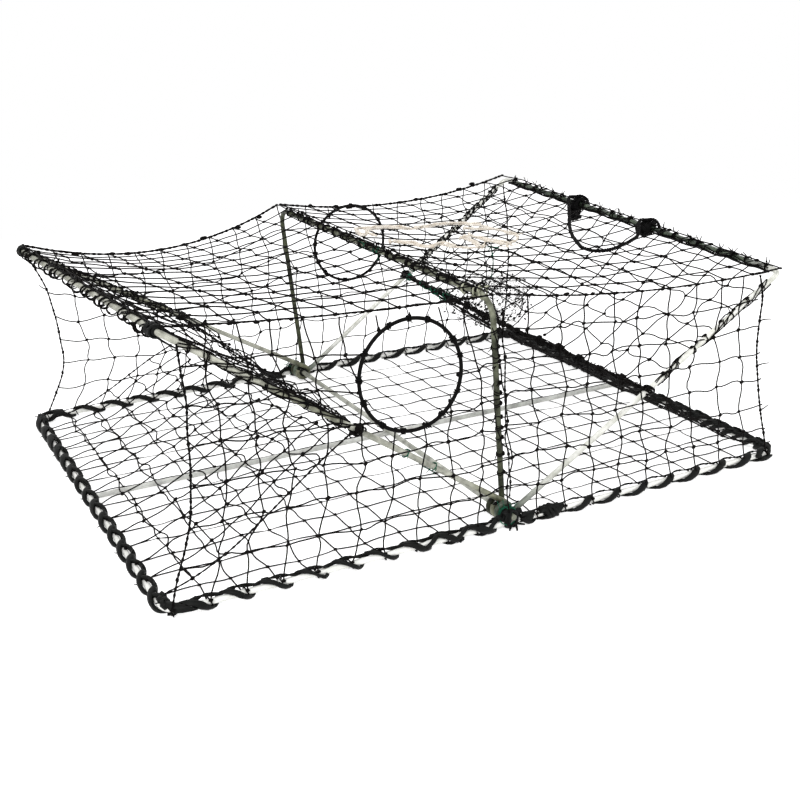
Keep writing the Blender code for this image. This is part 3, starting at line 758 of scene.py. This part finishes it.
def hangNet(surface, across, down, seed, wander=1.4, slack=0.9, stagger=1.5, hole=None, edges=(True,) * 4,
            finishKnots=True):
    # twine through knots: edges says which of low u, high u, low v and high v have a line of their own
    stock = Stock(seed)
    rng = stock.rng
    grid = np.array([[surface(i / across, j / down) for j in range(down + 1)] for i in range(across + 1)])
    wayU, wayV = [np.gradient(grid, axis=axis) for axis in (0, 1)]
    wayU /= np.linalg.norm(wayU, axis=2, keepdims=True)
    wayV /= np.linalg.norm(wayV, axis=2, keepdims=True)
    normal = np.cross(wayU, wayV)
    normal /= np.maximum(np.linalg.norm(normal, axis=2, keepdims=True), 1e-6)
    inner = np.zeros(grid.shape[:2])
    inner[1:-1, 1:-1] = 1
    drift = rng.normal(size=grid.shape) * wander
    side = (-1.0) ** np.add.outer(np.arange(across + 1), np.arange(down + 1)) * stagger
    knots = grid + inner[..., None] * (wayU * (drift[..., 0:1] + side[..., None]) + wayV * drift[..., 1:2]
                                       + normal * 0.5 * drift[..., 2:3])

    def inHole(point):
        return hole is not None and hypot(point[0] - hole[0], point[2] - hole[1]) < hole[2]

    def strand(a, b, outA, outB, sideways, outwards):
        # points from knot a to knot b, cut off at the ring where one end is inside it
        share = np.linspace(0, 1, 6)
        sway, bend, lift = stock.stray() * slack * (1, 0.7, 0.4)
        points = (between(a, b, share[:, None])
                  + sideways * (sway * np.sin(pi * share) + bend * np.sin(tau * share))[:, None]
                  + outwards * (lift * np.sin(pi * share))[:, None])
        if outA or outB:
            low, high = (a, b) if outA else (b, a)
            for _ in range(18):
                middle = between(low, high, 0.5)
                low, high = (middle, high) if inHole(middle) else (low, middle)
            points = np.array([between(high, b if outA else a, s) for s in share])
            if outB:
                points = points[::-1]
        return points

    def line(cells, sideways):
        run = []
        for (i, j), (k, m) in zip(cells, cells[1:]):
            outA, outB = inHole(knots[i, j]), inHole(knots[k, m])
            if outA and outB:
                continue
            points = strand(knots[i, j], knots[k, m], outA, outB, sideways[i, j], normal[i, j])
            run.append(points if not run else points[1:])
            if outA:
                stock.knot(points[0], mesh["knot"] * 1.25, points[1] - points[0])
            if outB:
                stock.tube(np.vstack(run), mesh["twine"], 5)
                stock.knot(points[-1], mesh["knot"] * 1.25, points[-1] - points[-2])
                run = []
        if run:
            stock.tube(np.vstack(run), mesh["twine"], 5)

    for j in range(down + 1):
        if (j > 0 or edges[2]) and (j < down or edges[3]):
            line([(i, j) for i in range(across + 1)], wayV)
    for i in range(across + 1):
        if (i > 0 or edges[0]) and (i < across or edges[1]):
            line([(i, j) for j in range(down + 1)], wayU)
    for i, j in np.ndindex(*inner.shape):
        if not inHole(knots[i, j]) and (finishKnots or inner[i, j]):
            stock.knot(knots[i, j], mesh["knot"] * (0.85 + 0.3 * rng.random()), wayU[i, j] + 0.6 * wayV[i, j])
    return stock, knots


def seam(side, u, end):
    # the fold line between a roof net and a side net
    out, bow = outward[end], 4 * u * (1 - u)
    low = bars[side][end] + at(-signs[side] * 4, out * 4, 5.5)
    top = bars["arch"][end] + at(signs[side] * 3, out * 4.5, 5.5)
    return between(low, top, u) - at(0, out * 9, roof["sag"][side][end]) * bow


def roofSurface(side):
    def surface(u, v):
        first, last = seam(side, u, near), seam(side, u, far)
        point = between(roofPoint(side, u, v, 276), first if v < 0.5 else last, abs(2 * v - 1) ** 6)
        point[1] = between(first[1], last[1], v)
        return point
    return surface


def layFlat(piece, side):
    # the piece gets a mesh of its own; the hoop's middle and its normal are worked out, but not used
    middle = onBar(side, 0)
    normal = unit(np.cross(middle - hinge, bars[side][far] - bars[side][near]))
    normal = normal * np.sign(normal[2])
    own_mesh(piece)


def makeRoof():
    for side, seed in (("left", 101), ("right", 202)):
        stock, knots = hangNet(roofSurface(side), 10, 15, seed)
        # its selvedges are doubled
        stock.rng = np.random.default_rng(204)
        for v, radius in ((0, 1.3), (-1, 2.0)):
            stock.twist(smoothLine(knots[:, v], 6), radius, 2, 17, 5)
            for spot in knots[1:-1, v]:
                stock.knot(spot + (stock.rng.normal() * 6, 0, 0), radius * 1.5, (1, 0, 0),
                           1.3 + stock.rng.random())
        layFlat(stock.make(side + "RoofNetting", twine, side + "_roof_net", side + "_bail"), side)
    print("roof nets hung")


makeRoof()

# Where the gathered cord at each corner runs, as its x at some heights
cornerCord = {(near, "left"): ((8, -371), (40, -362), (66, -352), (90, -344.5), (127, -339), (207, -336.5),
                               (258, -339)),
              (far, "left"): ((10, -362), (22, -353), (58, -340), (72, -334), (112, -335), (148, -338),
                              (190, -346), (206, -352), (236, -368)),
              (near, "right"): ((9, 362), (27, 358.3), (79, 349.3), (163, 344.4), (228, 342)),
              (far, "right"): ((9, 370), (90, 372), (180, 369), (256, 360))}


def cornerLine(end, side, t):
    heights, places = np.array(cornerCord[(end, side)]).T
    z = between(heights[0], heights[-1], t)
    y = halfY + 3.5 - 15 * (z - heights[0]) / 250 - 5 * sin(pi * t) ** 2
    return at(np.interp(z, heights, places), outward[end] * y, z)


rings = {"centre": ((-115, baseZ + 186), (99, baseZ + 183)), "radius": 56, "wire": 2.0}


def ringPlane(end, z):
    # the ring lies against the outside of its net
    return outward[end] * (trap["sideY"] - trap["sideLean"] * (z - trap["sideZ"]) + rings["wire"] + 1.4)


def onRing(end, turn):
    x, z = rings["centre"][end] + rings["radius"] * at(cos(turn), sin(turn), 0)[:2]
    return at(x, ringPlane(end, z), z)


def sideSurface(end):
    out, (centreX, centreZ) = outward[end], rings["centre"][end]

    def surface(u, v):
        top = seam("left", 2 * u, end) if u <= 0.5 else seam("right", 2 * (1 - u), end)
        left, right = cornerLine(end, "left", v), cornerLine(end, "right", v)
        x = between(between(left[0], right[0], u), top[0], v ** 2 * (1 - abs(2 * u - 1) ** 8))
        y = out * (halfY + 5) * (1 - v) + top[1] * v + out * 4 * sin(pi * v) * (1 - v)
        z = between(baseZ + 4, top[2], v)
        # the netting is drawn out to the ring round its opening
        pull = max(0.0, 1 - max(hypot(x - centreX, z - centreZ) - rings["radius"], 0) / 55)
        return at(x, between(y, ringPlane(end, z) - out * 2.2, pull), z)
    return surface


def makeSides():
    for end in (near, far):
        out = outward[end]
        stock, knots = hangNet(sideSurface(end), 20, 7, 303 + 101 * end, 2.0, 1.5, 2.4,
                               (*rings["centre"][end], rings["radius"]), noEdges, False)
        stock.rng = np.random.default_rng(40 + 2 * end)
        # the bottom row of meshes is hitched to the base rod
        for spot in knots[:, 0]:
            stock.wrap((spot[0], out * halfY, baseZ), (1, 0, 0), rod + 1.0, mesh["twine"], 1.1, 4)
            stock.knot(spot, mesh["knot"], (1, 0, 0))
        # twine left hanging beside the arch's leg
        legs = [legPoint("arch", end, s) + at(7, out * 5, 0) for s in np.linspace(6, 222, 13)]
        legs = [p + stock.stray() * (1.6, 0.6, 1.0) for p in legs]
        if end == near:
            stock.twist(smoothLine(legs, 5), 1.15, 2, 15, 4)
            for spot in legs[1::2]:
                stock.knot(spot, 2.1, up)
        piece = stock.make(ends[end] + "SideNetting", twine, ends[end] + "_side_net")
        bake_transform(piece)

        ring = Stock(stock.rng)
        ring.tube([onRing(end, turn) for turn in np.arange(64) / 64 * tau], rings["wire"], 10, closed=True)
        # twine seizing that holds the net to the ring
        for n in range(13):
            turn = n / 13 * tau + 0.25 * ring.rng.random()
            spot = onRing(end, turn)
            ring.wrap(spot, (-sin(turn), 0, cos(turn)), rings["wire"] + 0.8, 0.8, 2.2, 5)
            ring.tail(spot, ring.stray() * (1, 0.2, 1), 6, 0.7)
        ring.make(ends[end] + "EscapeRing", ringWire, ends[end] + "_escape_ring", ends[end] + "_side")
    print("side nets and rings hung")


makeSides()


def makeFloor():
    def surface(u, v):
        return at((halfX - 5) * (2 * u - 1), (halfY - 5) * (2 * v - 1), baseZ - rod - 0.8)

    stock, knots = hangNet(surface, 20, 15, 505, edges=noEdges)
    for block in stock.points:
        block[:, 2] = np.clip(block[:, 2], 0.25, 2.6)
    stock.make("floorNetting", twine, "floor_net", "base")
    print("floor net stretched, knots", len(knots) * len(knots[0]))


makeFloor()

# Where each lower ramp's lip is tied, under the slit knots
lip = {"left": ((-171, -272, 134), (-193, 268, 86)), "right": ((193, -276, 114), (181, 270, 132)), "sag": 14}


def upperRamp(side):
    def surface(u, v):
        reach = between(hoops[side]["leg"][near] - 4, hoops[side]["slit"] + 2, u)
        # slack cloth between the legs, in folds that gather towards the slit
        slack = (sin(6 * pi * v + 1.2) * u * u - sin(pi * u)) * sin(pi * v)
        leg = [legPoint(side, end, reach) for end in (near, far)]
        return between(*leg, 0.006 + 0.988 * v) + up * 7 * slack
    return surface


def lowerRamp(side):
    def surface(u, v):
        across = 2 * v - 1
        edge = between(*lip[side], v) - up * lip["sag"] * 4 * v * (1 - v)
        point = between((signs[side] * (halfX - 1), (halfY - 24) * across, baseZ + 5), edge, u)
        # the side edges start flat and then rise to the knot
        point[2] = max(point[2] - 12 * sin(pi * u) * (1 - u) * (1 + abs(across)), baseZ + 3)
        return point
    return surface


# How thick the line through each slit is, its loops, the loose lines beside it, and how often it is tied
slitLine = {"left": {"rope": 0.95, "loops": 1.5, "bunch": 6, "wander": 4.0, "ties": 17},
            "right": {"rope": 2.7, "loops": 3.4, "bunch": 5, "wander": 2.4, "ties": 30}}


def onSlit(side, share):
    a, b = [legPoint(side, end, hoops[side]["slit"]) for end in (near, far)]
    share = np.asarray(share)[..., None]
    return between(a, b, share) - up * 3 * np.sin(pi * share)


def makeSlit(side):
    # gathered meshes laced with doubled twine from leg to leg
    settings, sign = slitLine[side], signs[side]
    line, way = onSlit(side, np.linspace(0.012, 0.988, 90)), onSlit(side, 1) - onSlit(side, 0)
    stock = Stock(81 + sign)
    stock.twist(line, settings["rope"], 3, 21, 5)
    for n in range(settings["bunch"]):
        shift = stock.rng.normal(size=(14, 3)) * settings["wander"]
        shift[[0, -1]] = 0
        spots = line[np.linspace(0, 89, 14).astype(int)] + shift
        stock.tube(smoothLine(spots, 7), 0.8, 4)
        for spot in spots[1:-1]:
            stock.knot(spot, settings["loops"] * 1.1, way, 1.5)
    for n in range(1, settings["ties"]):
        spot = line[int(n * 89 / settings["ties"])]
        stock.wrap(spot, way, settings["rope"] + 0.5, 0.7, 1.6, 9)
        if side == "right":
            stock.knot(spot + stock.stray() * 1.2, settings["loops"], way, 1.9)
    stock.make(side + "SlitCord", twine, side + "_slit_cord", side + "_bail")

    for end in (near, far):
        out = outward[end]
        spot = legPoint(side, end, hoops[side]["slit"])
        leg = legPoint(side, end, 300) - spot
        stock = Stock(91 + out + 3 * sign)
        bulk = 1.5 if (side, end) == ("right", far) else 1.0
        for turns, run, radius in ((3.4, 12, 5.0), (2.6, 7, 6.2)):
            stock.wrap(spot, leg, radius, bulk, turns, run, 6)
        stock.knot(spot + (-2, out * 4, 3), 3.2 * bulk, (1, 1, 0.4))
        stock.knot(spot + (0, -out * 5.5, -2), 3.6, (0, 1, 0.4))
        for k in range(5):
            stock.tail(spot + stock.stray() * 2, (sign * (1 - 0.5 * k), -out * 0.8, stock.rng.normal()),
                       10 + 4 * stock.rng.random(), 0.75)
        stock.make(side + ends[end].title() + "SlitKnot", twine, side + "_" + ends[end] + "_slit_knot",
                   side + "_bail")


# How the upper ramp's edges are tied to the legs: ties, their reach from the leg's middle, how thick
# they are, and how many lines run along, for each side's near and far leg
legTies = {("left", near): (9, 0.3, 0.8, 5), ("left", far): (24, 0.8, 1.0, 5),
           ("right", near): (8, 0.4, 0.8, 4), ("right", far): (20, 0.6, 1.0, 5)}


def makeEntrances():
    for side, sign in signs.items():
        stock = hangNet(upperRamp(side), 6, 14, 606 + sign, 2.8, 2.0, edges=noEdges)[0]
        for end in (near, far):
            ties, proud, thick, runners = legTies[(side, end)]
            top, low = legPoint(side, end, 415), legPoint(side, end, hoops[side]["slit"] + 12)
            stock.rng = np.random.default_rng(61 + outward[end] + sign)
            stock.ties(top, low, ties, rod + proud, thick, 1.4, 0.3)
            for k in range(runners):
                stock.runner(top, low, 0.75, rod + 0.1 + 0.8 * (k > 2), 1.2 + 0.5 * k,
                             11 * k + end + sign + 1, 4, 1.1)
            stock.rng = np.random.default_rng(7 + end)
            for n in range(ties):
                stock.knot(between(top, low, (n + 0.5) / ties) + stock.stray() * 0.6 + up * rod, 1.9,
                           low - top, 1.6)
        stock.make(side + "UpperRampNetting", twine, side + "_upper_ramp", side + "_bail")

        stock, knots = hangNet(lowerRamp(side), 6, 14, 707 + sign, 2.2, 1.8,
                               edges=(False, True, False, False))
        for v in (0, -1):
            stock.twist(smoothLine(knots[:, v], 6), 1.3, 2, 16, 5)
        piece = stock.make(side + "LowerRampNetting", twine, side + "_lower_ramp")
        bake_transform(piece)
        makeSlit(side)
    print("entrances hung")


makeEntrances()


def makeCornerCords():
    for end, side in cornerCord:
        stock = Stock(17 + outward[end] * 2 + len(side))
        line = smoothLine([cornerLine(end, side, t) + stock.stray() * 0.8 for t in np.linspace(0, 1, 10)], 5)
        stock.twist(line, 1.5, 2, 14, 5)
        for n in range(1, 8):
            spot = line[int(n * len(line) / 8)]
            stock.knot(spot, 2.2, up)
            if n % 2 == 0 and (side == "right" or n == 6):
                stock.tail(spot, (signs[side], outward[end] * 0.3, 0.4), 11 + 5 * stock.rng.random(), 0.85)
        piece = stock.make(ends[end] + side.title() + "CornerCord", twine,
                           ends[end] + "_" + side + "_corner_cord")
        metres(cornerLine(end, side, 0))
        metres(cornerLine(end, side, 1))
        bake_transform(piece)
    print("corner cords tied")


makeCornerCords()


# Lashings on the three crossbars: how far apart the ties are, how thick, how far they stand off the rod,
# how the loops hang, and at what angles from level the lines run along the side where the net hangs
lashing = {"left": {"pitch": 26, "thick": 0.95, "proud": 1.6, "turns": 1.2, "runner": 1.15,
                    "hang": (-1.0, 0, -1.5), "angles": (1.25, 0.8, 0.4), "tails": 0.3},
           "arch": {"pitch": 23, "thick": 0.95, "proud": 0.2, "turns": 1.5, "runner": 1.0,
                    "hang": (0, 0, 0), "angles": (0.9, -0.9), "tails": 0.2},
           "right": {"pitch": 25, "thick": 0.9, "proud": 0.1, "turns": 1.5, "runner": 1.3,
                     "hang": (0, 0, 0), "angles": (-0.7, 0.0, -1.4), "tails": 1.0}}
bodies = {"left": "left_bail", "arch": "arch", "right": "right_bail"}


def makeLashings():
    for name, settings in lashing.items():
        stock = Stock(len(name) * 7)
        rng = stock.rng
        first, last = bars[name]
        way = unit(last - first)
        trim = way * (hoops[name]["bend"] + 4)
        start, end = first + trim, last - trim
        span = np.linalg.norm(end - start)
        inward = unit(np.cross(way, up)) * (1 if name == "left" else -1)
        count = int(span / settings["pitch"])
        for n in range(count):
            spot = between(start, end, (n + 0.5 + 0.25 * rng.normal()) / count)
            thick = settings["thick"] * (0.8 + 0.4 * rng.random())
            stock.wrap(spot, way + 0.2 * stock.stray(), rod + settings["proud"], thick,
                       settings["turns"] + 0.8 * rng.random(), 5 + 5 * rng.random(), 5,
                       at(*settings["hang"]) * (0.5 + rng.random()))
            stock.knot(spot + (inward + up) * 0.7 * (rod + 0.8), thick * 1.9, way, 1.5)
            if rng.random() < settings["tails"]:
                for k in (-1, 1, 1):
                    stock.tail(spot + up * rod * 0.9, way * k * 0.9 + stock.stray() * 0.4 + up * 0.9,
                               7 + 3 * rng.random(), 0.85)
        along = np.linspace(0, 1, int(span / 6))
        for k, angle in enumerate(settings["angles"]):
            reach = rod + settings["runner"] - 0.7 + np.abs(wavering(rng, len(along)) * 1.1)
            swing = angle + 0.4 * np.sin(along * span / settings["pitch"] * pi + k)
            line = start + along[:, None] * (end - start) + reach[:, None] * swung(swing, inward, up)
            stock.tube(line, 0.75 if k else settings["runner"], 5)
        stock.runner(start, end, 0.7, rod + 0.1, span / 60, 5)
        stock.make(name + "Lashing", twine, bodies[name] + "_lashing", bodies[name])
    print("crossbars lashed")


makeLashings()


def makeArchWraps():
    # pale thick twine wound over the rest beside the near corner of the arch
    corner, bare = bars["arch"][near], trap["bare"]
    way = unit(bars["arch"][far] - corner)
    stock = Stock(8)
    for start, turns, run in ((20, 1.3, 9), (31, 1.9, 11), (54, 1.2, 14)):
        stock.wrap(corner + way * start, way + 0.25 * stock.stray(), rod + 1.4, 1.15, turns, run, 7)
    stock.tail(corner + way * 24 + up * 5, (1, 0.2, 0.1), 16, 1.1, 6)
    stock.make("archWraps", agedTwine, None, "arch")
    # twine hitched down its near leg, where the side net hangs on it
    top, low = legPoint("arch", near, hoops["arch"]["leg"][near] - 30), legPoint("arch", near, 30)
    stock = Stock(78)
    for n in range(13):
        spot = between(top, low, (n + 0.5 + 0.2 * stock.rng.normal()) / 13)
        stock.wrap(spot, low - top + 60 * stock.stray(), bare + 0.4, 0.75, 1.3 + 0.8 * stock.rng.random(), 4)
        stock.knot(spot + at(1, -0.4, 0) * (bare + 0.6), 1.9, low - top, 1.6)
        if n % 3 == 1:
            stock.tail(spot - (bare, 0, 0), (-0.7, -0.3, -0.6), 8, 0.8)
    stock.runner(top, low, 0.7, bare + 0.3, 1.7, 5, 4, 1.1)
    stock.make("archLegTies", twine, None, "arch")
    print("arch wrapped")


makeArchWraps()


# Rubber knotted over the corners of the left bail: how thick it is at some places along the bar
cap = {"places": (3, 6, 10, 14, 17), "thick": (0.33, 1.1, 1.43, 0.88, 0.33)}


def makeCaps():
    for end in (near, far):
        corner = bars["left"][end]
        bar = unit(bars["left"][1 - end] - corner)
        stock = Stock(23 + end)
        stock.tube([corner + bar * s for s in cap["places"]], rod + np.array(cap["thick"]), 12)
        for k in range(4):
            stock.wrap(corner + bar * (4 + 4 * k), bar + 0.3 * stock.stray(), rod + 2.0, 1.3, 1.3, 3, 6)
        stock.knot(corner + bar * 9 + up * 5, 3.6, bar)
        if end == near:
            leg = unit(legPoint("left", end, 300) - corner)
            stock.tail(corner + bar * 12 - up * 4, leg + bar * 0.2 - up * 0.35, 26, 1.3, 6)
        stock.make("leftCap" + ends[end].title(), rubber, None, "left_bail")
    print("corners capped")


makeCaps()


# Cotton lacing over the right roof, as its x and y
lacing = {"thick": 2.1, "thin": 1.6,
          "route": ((10, 24), (9, 50), (22, 73), (39, 82), (60, 90), (85, 80), (100, 84), (120, 90),
                    (141, 97), (165, 92), (186, 72), (192, 48), (199, 4), (184, -22), (157, -34), (147, 0),
                    (141, 22), (128, 16), (126, -6), (118, -42), (88, -39), (72, -20), (54, -38), (40, -38),
                    (34, -20), (14, -15)),
          "more": (((-2, 53), (10, 72), (22, 75), (39, 82), (58, 91), (72, 87), (85, 79)),
                   ((100, 84), (119, 91), (141, 98), (158, 94), (173, 84), (188, 72)),
                   ((158, 60), (171, 51), (184, 41), (193, 30), (196, 16), (199, 1)),
                   ((-11, 36), (-12, 19), (0, 30), (19, 64)),
                   ((13, -15), (26, -15), (37, -22), (41, -40), (53, -39), (72, -19), (81, -29), (88, -38)),
                   ((140, 21), (143, 10), (146, 3), (152, -15), (159, -35), (152, -51)),
                   ((127, 12), (128, -1), (123, -25), (116, -48), (129, -39)))}


def makeLacing():
    stock = Stock(19)
    stock.twist(smoothLine([onRoof(x, y, 3.2) for x, y in lacing["route"]], 3), lacing["thick"], 2, 7)
    # where it was laced again and again, more strands lie over the first
    for strand in lacing["more"]:
        for lift in (3.6, 5.2):
            line = np.array([onRoof(x, y, lift) for x, y in strand])
            line += stock.rng.normal(size=line.shape) * (2.2, 2.2, 0.3)
            stock.twist(smoothLine(line, 3), lacing["thin"] + 0.4 * stock.rng.random(), 2, 7, 5)
            stock.knot(line[0], 2.4, stock.stray(), 1.6)
            stock.tail(line[-1], stock.stray() * (1, 1, 0.3), 11, 0.8, 5)
    layFlat(stock.make("roofLacing", cotton, "roof_lacing", "right_bail"), "right")
    print("roof laced")


makeLacing()

# The bait bag and its tie
bag = {"centre": (148, -20, 165.8), "size": (54, 46, 27), "thread": 0.2, "knot": 1.05, "around": 30, "up": 13}


def makeBag():
    stock = Stock(77)
    rng = stock.rng
    centre, size = at(*bag["centre"]), at(*bag["size"])
    around, rows = bag["around"], bag["up"]
    # two crumpled layers of fine mesh, most of which is seen as its knots
    for layer, kept in ((1.0, 0.8), (0.78, 0.45)):
        grid = np.zeros((around, rows + 1, 3))
        for i, j in np.ndindex(around, rows + 1):
            turn, rise = (i + 0.5 * (j % 2)) / around * tau, (j / rows - 0.5) * pi * 0.94
            ripple = layer * (1 + 0.13 * sin(3 * turn + 2 * rise) + 0.1 * sin(7 * turn - 5 * rise))
            ball = swung(rise, at(cos(turn), sin(turn), 0), up)
            grid[i, j] = centre + ball * size * ripple + stock.stray() * 2
        for j, i in np.ndindex(rows, around):
            if rng.random() > kept:
                continue
            for k in (i, (i + 1) % around if j % 2 else (i - 1) % around):
                stock.tube(between(grid[i, j], grid[k, j + 1], np.array([[0], [0.5], [1]])), bag["thread"], 3)
            stock.knot(grid[i, j], bag["knot"] * (0.35 + rng.random()), stock.stray(), 1.7)
    layFlat(stock.make("baitBag", bagTwine, "bait_bag", "right_bail"), "right")

    top, under = centre + up * size[2], onRoof(*bag["centre"][:2], -2)
    tie = Stock(rng)
    tie.twist(smoothLine([top, between(top, under, 0.5) + (3, 0, 0), under], 2.5), 1.3, 2, 6)
    for k in range(4):
        tie.tail(under, (cos(1.9 * k), sin(1.9 * k), -0.5), 10, 0.8, 5)
    layFlat(tie.make("baitBagTie", greenTwine, "bait_bag_tie", "right_bail"), "right")
    print("bait bag hung")


makeBag()

# Short ties of green twine on each hoop: end and reach along the leg, or no end and y on the bar
greenTies = {"arch": ((None, 10), (None, -16), (None, -24)), "left": ((near, 142), (near, 104)),
             "right": ((far, 222), (far, 228))}
# and on the cord through the right slit: how far along it is, its turns and their run
slitTwine = ((0.79, 2.4, 22), (0.83, 2.6, 20), (0.87, 1.4, 24), (0.92, 1.2, 26), (0.98, 2.0, 9))


def makeGreenTies():
    for hoop, places in greenTies.items():
        stock = Stock(57)
        for end, place in places:
            if end is None:
                spot, way = onBar(hoop, place), bars[hoop][far] - bars[hoop][near]
            else:
                spot = legPoint(hoop, end, place)
                way = legPoint(hoop, end, place + 9) - spot
            stock.wrap(spot, way, rod + 0.8, 0.6, 1.3, 3)
            for k in range(5):
                stock.tail(spot + unit(stock.stray()) * rod, stock.stray() - up * 0.6,
                           6 + 7 * stock.rng.random(), 0.5)
        stock.make(bodies[hoop].replace("_b", "B") + "GreenTies", greenTwine, None, bodies[hoop])
    stock = Stock(58)
    for share, turns, run in slitTwine:
        spot = onSlit("right", share)
        stock.wrap(spot, onSlit("right", 1) - onSlit("right", 0) + 200 * stock.stray(), 4.3, 0.9,
                   turns, run, 5)
        for k in range(4):
            stock.tail(spot, stock.stray() + (-0.8, -0.6, -0.9), 9 + 9 * stock.rng.random(), 0.5)
    stock.make("slitGreenTwine", greenTwine, None, "right_bail")
    print("green ties knotted")


makeGreenTies()


# Floor, light and finish, in metres

studio = {"paper": "#F4F4F4", "glow": 0.62, "sky": 0.6, "reach": 1.6, "depth": -0.6 * mm,
          "lamps": {"keyLamp": ((-1.3, -1.6, 1.9), 1.3, 46), "fillLamp": ((1.6, -1.4, 1.2), 1.4, 8),
                    "backLamp": ((0.3, 1.6, 2.4), 1.4, 16)}}


def byRay(tree, plain, shown):
    # shown to the rays that see the backdrop, straight from the camera or by way of metal or glass
    rays = node(tree, "ShaderNodeLightPath").outputs
    seen = rays["Is Camera Ray"]
    for kind in ("Is Glossy Ray", "Is Transmission Ray"):
        either = {0: seen, 1: rays[kind]}
        seen = node(tree, "ShaderNodeMath", {"operation": "MAXIMUM"}, either).outputs["Value"]
    return node(tree, "ShaderNodeMixShader", links={"Fac": seen, 1: plain, 2: shown}).outputs["Shader"]


def whitePaper():
    # white paper sweep: fully white to the camera where nothing shades it, plainer to everything else
    material, tree = startMaterial("whitePaper")
    paper = node(tree, "ShaderNodeBsdfDiffuse", {"Color": fromHex(studio["paper"])}).outputs["BSDF"]
    glow = node(tree, "ShaderNodeEmission", {"Color": (1, 1, 1, 1), "Strength": studio["glow"]})
    glow = glow.outputs["Emission"]
    glowing = node(tree, "ShaderNodeAddShader", links={0: paper, 1: glow}).outputs["Shader"]
    node(tree, "ShaderNodeOutputMaterial", links={"Surface": byRay(tree, paper, glowing)})
    return material


def makeStudio():
    floorMesh = bpy.data.meshes.new("studioFloor")
    floorMesh.from_pydata([(x * studio["reach"], y * studio["reach"], studio["depth"])
                           for x, y in ((-1, -1), (1, -1), (1, 1), (-1, 1))], [], [(0, 1, 2, 3)])
    floorMesh.materials.append(whitePaper())
    floor = bpy.data.objects.new("studioFloor", floorMesh)
    scene.collection.objects.link(floor)

    world = bpy.data.worlds.new("studioWorld")
    scene.world = world
    world.use_nodes = True
    tree = world.node_tree
    tree.nodes.clear()
    soft, white = [node(tree, "ShaderNodeBackground", {"Color": (1, 1, 1, 1), "Strength": power}).outputs[0]
                   for power in (studio["sky"], 1.0)]
    node(tree, "ShaderNodeOutputWorld", links={"Surface": byRay(tree, soft, white)})

    for name, (place, size, power) in studio["lamps"].items():
        data = bpy.data.lights.new(name, "AREA")
        data.size = size
        data.energy = power
        lamp = bpy.data.objects.new(name, data)
        lamp.location = place
        lamp.rotation_euler = (Vector((0, 0, 0.1)) - Vector(place)).to_track_quat("-Z", "Y").to_euler()
        scene.collection.objects.link(lamp)
    scene.view_settings.view_transform = "Standard"
    print("studio lit")


makeStudio()
